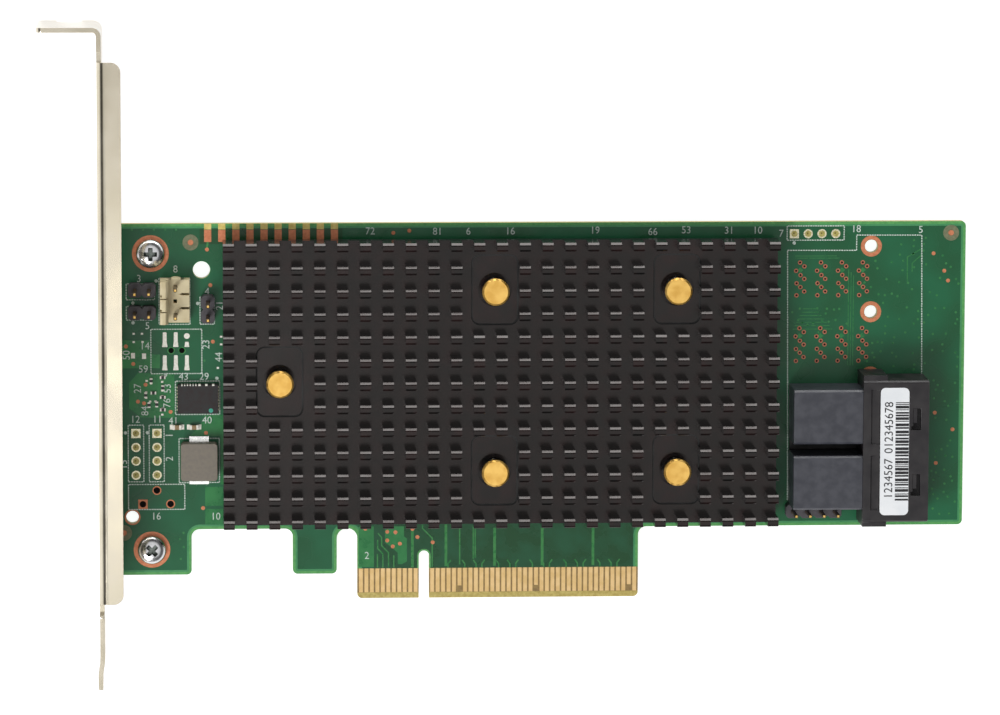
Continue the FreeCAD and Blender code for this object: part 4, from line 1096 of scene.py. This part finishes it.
def build_pocket_lines():
    """A painted shade: a fine black line round the edge of each pocket, where shade falls."""
    lines = []
    for x, y in PUSH_PLACES:
        for inset in (0, POCKET_LINE):
            half_x, half_y = POCKET_WIDTH / 2 - inset, POCKET_LENGTH / 2 - inset
            lines.append(rounded_outline([(x + i * half_x, y + j * half_y, POCKET_CORNER - inset)
                                          for i, j in ((-1, -1), (1, -1), (1, 1), (-1, 1))]))
    floor = SINK_FLOOR - POCKET_DEPTH
    # Painted shade: a thin black sheet on the pocket floor along its edge
    drawn = sheet("pocket_shade_lines", lines, floor - DIP, floor + POCKET_LINE_RISE)
    finish_piece(drawn, "painted_shade")


def build_heat_sink():
    base = build_sink_base()
    columns = [SINK_LOW[0] + COLUMN_PITCH * i for i in range(COLUMNS)]
    rows = [SINK_LOW[1] + ROW_PITCH * j for j in range(ROWS)]
    left_out = set()
    for x, y in PUSH_PLACES:
        for i in nearest(columns, PIN_LENGTH, x, POCKET_COLUMNS):
            for j in nearest(rows, PIN_THICKNESS, y, POCKET_ROWS):
                left_out.add((i, j))
    places = [(columns[i], rows[j]) for i in range(COLUMNS) for j in range(ROWS) if (i, j) not in left_out]
    pins = repeat("sink_pins", build_sink_pin(), places)
    sink = join("pin_fin_sink", [base, pins])
    build_pocket_lines()
    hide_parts("heat_sink")
    finish_piece(sink, "anodised")


def profile(steps, **levels):
    """The (diameter, height) steps of a turned piece, from heights counted from named levels."""
    return [(diameter, levels[level] + rise) for diameter, level, rise in steps]


# A push pin from its tip up: (diameter, level, height above that level)
PUSH_PIN_STEPS = (
    (1.9, "tip", 0), (3.7, "board", -0.45), (3.7, "board", -0.1), (2.8, "board", -0.05),
    (2.8, "head", -1.1), (4.95, "head", -1.1), (4.95, "head", -0.35), (4.3, "head", 0),
)
BARB_SPLIT = 0.6
BARB_LENGTH = 2.35
SPLIT_REACH = 3.0


def build_push_pins():
    low, high = node_box("push_pins")
    steps = profile(PUSH_PIN_STEPS, tip=low[2], board=BOARD_BACK, head=high[2])
    heads = []
    for x, y in PUSH_PLACES:
        split_low = (x - BARB_SPLIT / 2, y - SPLIT_REACH, low[2] - OVER)
        split_high = (x + BARB_SPLIT / 2, y + SPLIT_REACH, low[2] + BARB_LENGTH)
        heads.append(carve(turned("push_pin_turned", (x, y), steps),
                           [block("split_cutter", split_low, split_high)]))
    pins = smooth(join("push_pins_turned", heads))
    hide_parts("push_pins")
    finish_piece(pins, "brass")


SPRING_TURNS = 5
SPRING_SIDES = 16
SPRING_WIRE = 0.5
SPRING_OUTER = 4.5


def build_springs():
    low, high = node_box("push_pin_springs")
    foot, head = low[2] + SPRING_WIRE / 2, high[2] - SPRING_WIRE / 2
    radius = (SPRING_OUTER - SPRING_WIRE) / 2
    steps = SPRING_TURNS * SPRING_SIDES
    coils = []
    for x, y in PUSH_PLACES:
        curve = bpy.data.curves.new("coil", "CURVE")
        curve.dimensions = "3D"
        curve.bevel_depth = SPRING_WIRE / 2 * MM
        curve.bevel_resolution = 1
        curve.use_fill_caps = True
        line = curve.splines.new("POLY")
        line.points.add(steps)
        for k, point in enumerate(line.points):
            angle = 2 * math.pi * k / SPRING_SIDES
            point.co = ((x + radius * math.cos(angle)) * MM, (y + radius * math.sin(angle)) * MM,
                        (foot + (head - foot) * k / steps) * MM, 1)
        coil = bpy.data.objects.new("coil", curve)
        bpy.context.scene.collection.objects.link(coil)
        only(coil)
        bpy.ops.object.convert(target="MESH")
        coils.append(bpy.context.object)
    springs = smooth(join("push_pin_coils", coils), 60)
    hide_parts("push_pin_springs")
    finish_piece(springs, "spring")


# Small parts

CHIP_SIZE = (1.0, 0.5, 0.4)
CHIP_CAP = 0.27
CHIPS_ALONG_X = ((-47.4, 40.9), (-47.4, 37.3), (-47.4, 35.0), (-49.1, 38.1))
CHIPS_ALONG_Y = ((-50.5, 37.7), (-47.4, 39.0), (-49.9, 35.9), (-48.5, 36.0), (-49.5, 40.3))
CAPACITOR_SIZE = (1.6, 0.8, 0.8)
CAPACITOR_CAP = 0.42
CAPACITORS = ((-44.85, 31.8), (-41.75, 31.8))
CAPACITOR_PAD = (0.7, 0.9)
CAPACITOR_PAD_SHIFT = 0.95
CAP_PROUD = 0.015
CAP_EDGE = 0.03


def end_caps(name, size, cap, places, upright=False):
    """Tinned ends of chip parts, one at each end, a trace larger than the body."""
    length, width, height = size
    half = width / 2 + CAP_PROUD
    ends = []
    for side in (-1, 1):
        left, right = sorted((side * (length / 2 + CAP_PROUD), side * (length / 2 - cap)))
        low, high = (left, -half), (right, half)
        if upright:
            low, high = low[::-1], high[::-1]
        top = BOARD_FACE + height + CAP_PROUD
        ends.append(block("end_cap", (*low, BOARD_FACE), (*high, top), edge=CAP_EDGE))
    return repeat(name, join("end_caps", ends), places)


def build_end_caps():
    pieces = [end_caps("chip_ends_x", CHIP_SIZE, CHIP_CAP, CHIPS_ALONG_X),
              end_caps("chip_ends_y", CHIP_SIZE, CHIP_CAP, CHIPS_ALONG_Y, upright=True),
              end_caps("capacitor_ends", CAPACITOR_SIZE, CAPACITOR_CAP, CAPACITORS)]
    finish_piece(join("tinned_part_ends", pieces), "pad_tin")
    pads = [slab(x + shift, y, *CAPACITOR_PAD) for x, y in CAPACITORS
            for shift in (-CAPACITOR_PAD_SHIFT, CAPACITOR_PAD_SHIFT)]
    lay("capacitor_pads", "pad_tin", "metal", pads)


# Leads of the power stage: (middle, width) of those along its head, and square ones down both sides
STAGE_TOP = 1.985
STAGE_SIDES = (-44.75, -37.35)
STAGE_HEAD = 39.7
NARROW_LEADS = tuple((-43.93 + 0.505 * k, 0.22) for k in range(6))
WIDE_LEADS = tuple((x, 0.45) for x in (-40.74, -39.52, -38.26))
LEAD_TUCK = 0.25
LEAD_PROUD = 0.05
LEAD_EDGE = 0.02
LEAD_LIFT = 0.01
SHEET_RISE = 0.012
SIDE_LEAD_HEIGHTS = tuple(39.15 - 0.58 * k for k in range(8))
SIDE_LEAD = 0.24
SIDE_LEAD_DROP = 0.3
DOT_PLACE = (-38.7, 34.95)
DOT_SIZE = 0.8


def build_stage_leads():
    foot = BOARD_FACE + LEAD_LIFT
    leads = [block("lead", (x - width / 2, STAGE_HEAD - LEAD_TUCK, foot),
                   (x + width / 2, STAGE_HEAD + LEAD_PROUD, STAGE_TOP + SHEET_RISE), edge=LEAD_EDGE)
             for x, width in NARROW_LEADS + WIDE_LEADS]
    finish_piece(join("stage_leads", leads), "pad_tin")
    half, head = SIDE_LEAD / 2, STAGE_TOP - SIDE_LEAD_DROP
    tucked = [block("side_lead", (x - half, y - half, foot), (x + half, y + half, head), edge=LEAD_EDGE)
              for y in SIDE_LEAD_HEIGHTS for x in STAGE_SIDES]
    finish_piece(join("stage_side_leads", tucked), "solder")
    dot = sheet("stage_dot", [circle(*DOT_PLACE, DOT_SIZE)], STAGE_TOP - DIP, STAGE_TOP + SHEET_RISE)
    finish_piece(dot, "teal")


# Label on the socket: plain bars and plain numbers

BARS_LEFT = 84.99
BARS_RIGHT = 87.41
BARS_FOOT = 19.03
BARS_HEAD = 37.41
BAR_STEPS = (0.16, 0.32, 0.5)
BAR_SEED = 11
BAR_RISE = 0.015
LABEL_NUMBERS = (("1234567", 23.05), ("012345678", 32.4))
LABEL_NUMBER_X = 83.85
LABEL_NUMBER_HEIGHT = 1.6


def build_label_print():
    chance = random.Random(BAR_SEED)
    bars = []
    y = BARS_FOOT
    while y < BARS_HEAD - BAR_STEPS[2]:
        thickness = chance.choice(BAR_STEPS)
        bars.append(rectangle(BARS_LEFT, BARS_RIGHT, y, y + thickness))
        y += thickness + chance.choice(BAR_STEPS[:2])
    finish_piece(sheet("label_bars", bars, LABEL_TOP - DIP, LABEL_TOP + BAR_RISE), "ink")
    numbers = [number_piece(text, LABEL_NUMBER_X, middle, True, LABEL_NUMBER_HEIGHT, LABEL_TOP)
               for text, middle in LABEL_NUMBERS]
    finish_piece(join("label_numbers", numbers), "ink")


# Inside and round the socket

PORT_CENTRES = (22.23, 34.27)
PORT_MIDDLE_Z = 5.585
PORT_SLOT_SHIFT = 1.35
SLOT_HALF = 0.65
BLADE_FRONT = 86.7
BLADE_DEPTH = 3.0
BLADE_SETBACK = 0.25
BLADES_PER_ROW = 9
BLADE_PITCH = 0.75
BLADE_WIDTH = 0.35
BLADE_THICKNESS = 0.16
BLADE_TIP = (1, 0.7, 0.4)


def build_contact_blades():
    """Gilt contact blades along both sides of each card slot."""
    blade = block("blade", (BLADE_FRONT - BLADE_DEPTH, -BLADE_WIDTH / 2, 0),
                  (BLADE_FRONT - BLADE_SETBACK, BLADE_WIDTH / 2, BLADE_THICKNESS))
    edit(blade)
    pick(blade, "FACE", lambda f: f.normal.x > 0.9)
    bpy.ops.transform.resize(value=BLADE_TIP, center_override=(0, 0, 0))
    leave_edit()
    places = []
    for y in PORT_CENTRES:
        for shift in (-PORT_SLOT_SHIFT, PORT_SLOT_SHIFT):
            slot = PORT_MIDDLE_Z + shift
            for z in (slot - SLOT_HALF, slot + SLOT_HALF - BLADE_THICKNESS):
                for k in range(BLADES_PER_ROW):
                    places.append((0, y + BLADE_PITCH * (k - (BLADES_PER_ROW - 1) / 2), z))
    finish_piece(repeat("contact_blades", blade, places), "gold")


LATCH_SLOTS = ((88.25, 21.83), (88.25, 33.87))
# A lip's corners, from its slot's place and the socket's top
LIP_LOW = (-0.05, -0.7, -0.9)
LIP_HIGH = (0.72, 2.0, -0.08)
LIP_EDGE = 0.06
# The floor between the two contact blocks, a real floor painted black as the shade that falls there
GAP_FLOOR_LOW = (66.7, 27.2)
GAP_FLOOR_HIGH = (79.1, 29.3)
GAP_FLOOR_HEIGHT = 0.5
GAP_FLOOR_EDGE = 0.05


def build_socket_details():
    lips = []
    for place in LATCH_SLOTS:
        corner = (*place, SOCKET_TOP)
        lips.append(block("lip", shifted(corner, LIP_LOW), shifted(corner, LIP_HIGH), edge=LIP_EDGE))
    finish_piece(join("latch_slot_lips", lips), "socket")
    # Painted shade: the floor block takes the matt black finish
    gap = block("gap_floor", (*GAP_FLOOR_LOW, BOARD_FACE), (*GAP_FLOOR_HIGH, BOARD_FACE + GAP_FLOOR_HEIGHT),
                edge=GAP_FLOOR_EDGE)
    finish_piece(gap, "painted_shade")


# Back of the board: solder round the leads, and mask

LEAD_PLACES = ((-52.35, 57.03), (-49.81, 57.03), (-52.35, 52.94), (-49.81, 52.94), (-39.2, 52.28),
               (-39.2, 54.82), (-45.05, 52.66), (-45.05, 57.74), (67.27, 16.0), (69.81, 16.0), (72.35, 16.0),
               (74.89, 16.0))
# A fillet from the board down: (diameter, level, height above that level)
FILLET_STEPS = ((1.6, "board", 0), (1.25, "board", -0.14), (0.95, "board", -0.4), (0.7, "board", -0.75))
BACK_SKIN_GAP = 0.7
BACK_SKIN_RISE = 0.02


def build_back_details():
    steps = profile(FILLET_STEPS, board=BOARD_BACK)
    fillets = [turned("fillet", place, steps, sides=16) for place in LEAD_PLACES]
    finish_piece(smooth(join("solder_fillets", fillets), 50), "solder")
    board_skin("back_plane", BACK_SKIN_GAP, BOARD_BACK - BACK_SKIN_RISE, BOARD_BACK + DIP, "mask")


# Screws

# A screw from its tip up: (diameter, level, height above that level)
SCREW_STEPS = (
    (2.6, "tip", 0), (2.9, "tip", 0.2), (2.9, "board", 0), (5.1, "board", 0), (5.25, "board", 0.12),
    (5.25, "board", 0.55), (5.0, "board", 0.9), (4.5, "board", 1.2), (3.8, "board", 1.42),
    (2.9, "board", 1.58), (1.8, "board", 1.67), (0.7, "head", 0),
)
CROSS_REACH = 1.45
CROSS_WIDTH = 0.95
CROSS_DEPTH = 1.1
CROSS_OVER = 0.5
CROSS_TAPER = (0.55, 0.6, 1)
CROSS_TURNS = (45, 0)
# Limits by which a face of a screw counts as part of its recess
RECESS_MARGIN = 0.1
RECESS_DROP = 0.18
RECESS_FLOOR = 0.05
RECESS_TILT = 0.97


def cross_arm(place, turn, top):
    """A cutter for one arm of a cross recess, narrower at its floor."""
    floor = top - CROSS_DEPTH
    arm = block("cross_cutter", (-CROSS_REACH, -CROSS_WIDTH / 2, floor),
                (CROSS_REACH, CROSS_WIDTH / 2, top + CROSS_OVER))
    edit(arm)
    pick(arm, "FACE", lambda f: f.normal.z < -0.9)
    bpy.ops.transform.resize(value=CROSS_TAPER, center_override=(0, 0, floor * MM))
    leave_edit()
    arm.rotation_euler.z = math.radians(turn)
    arm.location = (place[0] * MM, place[1] * MM, 0)
    return settle(arm, "cross_cutter")


def in_recess(face, top):
    x, y, z = (c / MM for c in face.center)
    near = min(math.hypot(x - a, y - b) for a, b in SCREW_PLACES)
    wall = near < CROSS_REACH + RECESS_MARGIN and z < top - RECESS_DROP and abs(face.normal.z) < RECESS_TILT
    floor = near < CROSS_REACH and z < top - CROSS_DEPTH + RECESS_FLOOR
    return z > BOARD_FACE and (wall or floor)


def build_screws():
    low, high = node_box("bracket_screws")
    top = high[2]
    steps = profile(SCREW_STEPS, tip=low[2], board=BOARD_FACE, head=top)
    screws = []
    for place, turn in zip(SCREW_PLACES, CROSS_TURNS):
        screw = turned("screw", place, steps, sides=48)
        screws.append(carve(screw, [cross_arm(place, turn + quarter, top) for quarter in (0, 90)]))
    heads = smooth(join("cross_head_screws", screws))
    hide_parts("bracket_screws")
    finish_piece(heads, "nickel")
    # Faces inside the cross recesses get the darker finish, a painted shade
    heads.data.materials.append(FINISHES["recess"].material)
    for face in heads.data.polygons:
        face.material_index = int(in_recess(face, top))


# Carried-over pieces with softened edges

def softened(node, name, edge, key, slot, steps=2):
    """A merged copy of a CAD node with its sharp edges rounded."""
    piece = nodes[node].copy()
    piece.data = nodes[node].data.copy()
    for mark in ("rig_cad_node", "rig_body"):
        if mark in piece:
            del piece[mark]
    piece.parent = None
    bpy.context.scene.collection.objects.link(piece)
    piece.name = name
    piece.data.name = name
    edit(piece)
    bpy.ops.mesh.select_all(action="SELECT")
    bpy.ops.mesh.remove_doubles(threshold=2e-6)
    bpy.ops.mesh.dissolve_limited(angle_limit=math.radians(1))
    leave_edit()
    add_modifier(piece, "BEVEL", width=edge * MM, segments=steps, limit_method="ANGLE",
                 angle_limit=math.radians(40), use_clamp_overlap=True)
    smooth(piece)
    add_modifier(piece, "WEIGHTED_NORMAL", keep_sharp=True)
    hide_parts(node)
    return finish_piece(piece, key)


LOCK_RIB = (-44.95, 59.1)
LOCK_RIB_MARGIN = 0.02
LOCK_RIB_EASE = (1.2, 0.35, 1)
LOCK_WALL = (-47.8, -46.75)
LOCK_WALL_TOP = 7.385
TONGUE_GAPS = (53.56, 55.96)
TONGUE_GAP = 0.2
TONGUE_GAP_DEPTH = 1.6
TONGUE_OVER = (0.5, 0.6, 0.5)


def build_lock_header():
    """The locking header: its rib eased to a low bump, its wall slit into three tongues."""
    body = softened("lock_header", "lock_header_body", 0.1, "ivory", "ivory_plastic")
    rib_x, rib_y = LOCK_RIB
    edit(body)
    pick(body, "FACE", lambda f: f.calc_center_median().y > (rib_y + LOCK_RIB_MARGIN) * MM)
    bpy.ops.transform.resize(value=LOCK_RIB_EASE, center_override=(rib_x * MM, rib_y * MM, 0))
    leave_edit()
    left, right = LOCK_WALL[0] - TONGUE_OVER[0], LOCK_WALL[1] + TONGUE_OVER[1]
    foot, head = LOCK_WALL_TOP - TONGUE_GAP_DEPTH, LOCK_WALL_TOP + TONGUE_OVER[2]
    gaps = [block("tongue_gap", (left, y - TONGUE_GAP / 2, foot), (right, y + TONGUE_GAP / 2, head))
            for y in TONGUE_GAPS]
    carve(body, gaps)


HEADERS = ("led_header_upper", "led_header_lower", "jumper_header", "serial_header")
HEADER_EDGE = 0.04
PIN_POINT = 0.14
# Other softened nodes: (node, name, edge, finish, slot)
SOFTENED = (
    ("bracket", "folded_bracket", 0.12, "steel", "bracket_steel"),
    ("cable_socket", "socket_shell", 0.12, "socket", "socket_plastic"),
    ("contact_block_lower", "plug_block_lower", 0.2, "block", "block_plastic"),
    ("contact_block_upper", "plug_block_upper", 0.2, "block", "block_plastic"),
    ("power_inductor", "inductor_core", 0.25, "core", "inductor_core"),
    ("power_stage", "stage_package", 0.06, "package", "package_plastic"),
)


def build_softened():
    for entry in SOFTENED:
        softened(*entry)
    for header in HEADERS:
        softened(header, header + "_body", HEADER_EDGE, "header", "header_plastic", steps=1)
    build_lock_header()
    for header in (*HEADERS, "lock_header"):
        softened(header + "_pins", header + "_pointed_pins", PIN_POINT, "pin_gold", "gold_contact", steps=1)


KEPT_NODES = {
    "edge_contacts_front": "gold",
    "edge_contacts_back": "gold",
    "controller_substrate": "substrate",
    "controller_lid": "lid",
    "thermal_pad": "pad",
    "socket_label": "paper",
    "power_inductor_terminals": "terminal_tin",
    "ceramic_capacitors": "capacitor",
    "chip_resistors": "resistor",
    "back_capacitors": "capacitor",
}


def finish_kept_nodes():
    for node, key in KEPT_NODES.items():
        give(nodes[node], FINISHES[key])


# Stage: floor, light and camera

FLOOR_SIZE = 6.0
TABLE_GLOW = 0.9
# The camera, fitted to known places of the card: turns about X, Y and Z in degrees, then the card's
# origin as the camera sees it, in millimetres, and the lens in pixels of a picture this wide
CAMERA_TURN = (7.6549, 3.1997, 0.2768)
CAMERA_OFFSET = (-13.9384, -43.8148, -1033.3759)
FOCAL_PIXELS = 5655.0
IMAGE_WIDTH = 1000
SENSOR_WIDTH = 36.0
CLIP_END = 10.0


def build_stage():
    low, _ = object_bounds()
    only()
    bpy.ops.mesh.primitive_plane_add(size=FLOOR_SIZE, location=(0, 0, low.z))
    floor = settle(bpy.context.object, "floor")
    give(floor, mottled("light_table", "a5a5a5", "a9a9a9", 40.0, rough=(0.85, 0.9),
                        Emission_Color=(1.0, 1.0, 1.0, 1.0), Emission_Strength=TABLE_GLOW))


def add_light(name, place, target, size, watts):
    light = bpy.data.lights.new(name, "AREA")
    light.shape = "RECTANGLE"
    light.size, light.size_y = size
    light.energy = watts
    lamp = bpy.data.objects.new(name, light)
    bpy.context.scene.collection.objects.link(lamp)
    lamp.location = place
    lamp.rotation_euler = (Vector(target) - Vector(place)).to_track_quat("-Z", "Y").to_euler()


# How bright the studio is from low to high: (height of the direction, light)
MIDDLE_LIGHT = 0.08
STUDIO_STEPS = ((0.26, 1.0), (0.42, MIDDLE_LIGHT), (0.78, MIDDLE_LIGHT), (0.9, TOP_LIGHT))


def build_world():
    """A pale studio: bright near the horizon, dark half way up, softly bright overhead."""
    world = bpy.data.worlds.new("studio")
    bpy.context.scene.world = world
    world.use_nodes = True
    tree = world.node_tree
    direction = tree.nodes.new("ShaderNodeTexCoord")
    axes = tree.nodes.new("ShaderNodeSeparateXYZ")
    ramp = tree.nodes.new("ShaderNodeValToRGB")
    tree.links.new(direction.outputs["Generated"], axes.inputs[0])
    tree.links.new(axes.outputs["Z"], ramp.inputs[0])
    tree.links.new(ramp.outputs["Color"], tree.nodes["Background"].inputs["Color"])
    while len(ramp.color_ramp.elements) < len(STUDIO_STEPS):
        ramp.color_ramp.elements.new(0.5)
    for element, (place, light) in zip(ramp.color_ramp.elements, STUDIO_STEPS):
        element.position = place
        element.color = (light, light, light, 1.0)


# Lamps, in metres and watts: (name, place, target, size, power)
CARD_MIDDLE = (0.02, 0.04, 0.0)
LAMPS = (
    ("key_softbox", (-0.62, -0.85, 1.2), CARD_MIDDLE, (0.8, 0.8), 20),
    # Mirrored in the middle of the bracket's flange
    ("small_card", (-0.073, -0.105, 0.99), (-0.058, 0.038, 0.0), (0.06, 0.12), 0.05),
    ("far_strip", (0.0, 1.5, 0.2), CARD_MIDDLE, (2.4, 0.3), 14),
)


def build_lights():
    for lamp in LAMPS:
        add_light(*lamp)


def build_camera():
    turns = [Matrix.Rotation(math.radians(angle), 3, axis) for angle, axis in zip(CAMERA_TURN, "XYZ")]
    to_camera = turns[2] @ turns[1] @ turns[0]
    camera = bpy.data.cameras.new("camera")
    camera.sensor_width = SENSOR_WIDTH
    camera.lens = FOCAL_PIXELS / IMAGE_WIDTH * SENSOR_WIDTH
    camera.clip_end = CLIP_END
    holder = bpy.data.objects.new("camera", camera)
    bpy.context.scene.collection.objects.link(holder)
    turned_back = to_camera.transposed()
    place = turned_back @ -Vector(CAMERA_OFFSET) * MM
    holder.matrix_world = Matrix.Translation(place) @ turned_back.to_4x4()
    bpy.context.scene.camera = holder
    bpy.context.scene.view_settings.view_transform = "Standard"


build_board_skins()
build_board_surface()
build_heat_sink()
build_push_pins()
build_springs()
build_screws()
build_softened()
build_end_caps()
build_stage_leads()
build_label_print()
build_contact_blades()
build_socket_details()
build_back_details()
finish_kept_nodes()
build_stage()
build_world()
build_lights()
build_camera()

only()
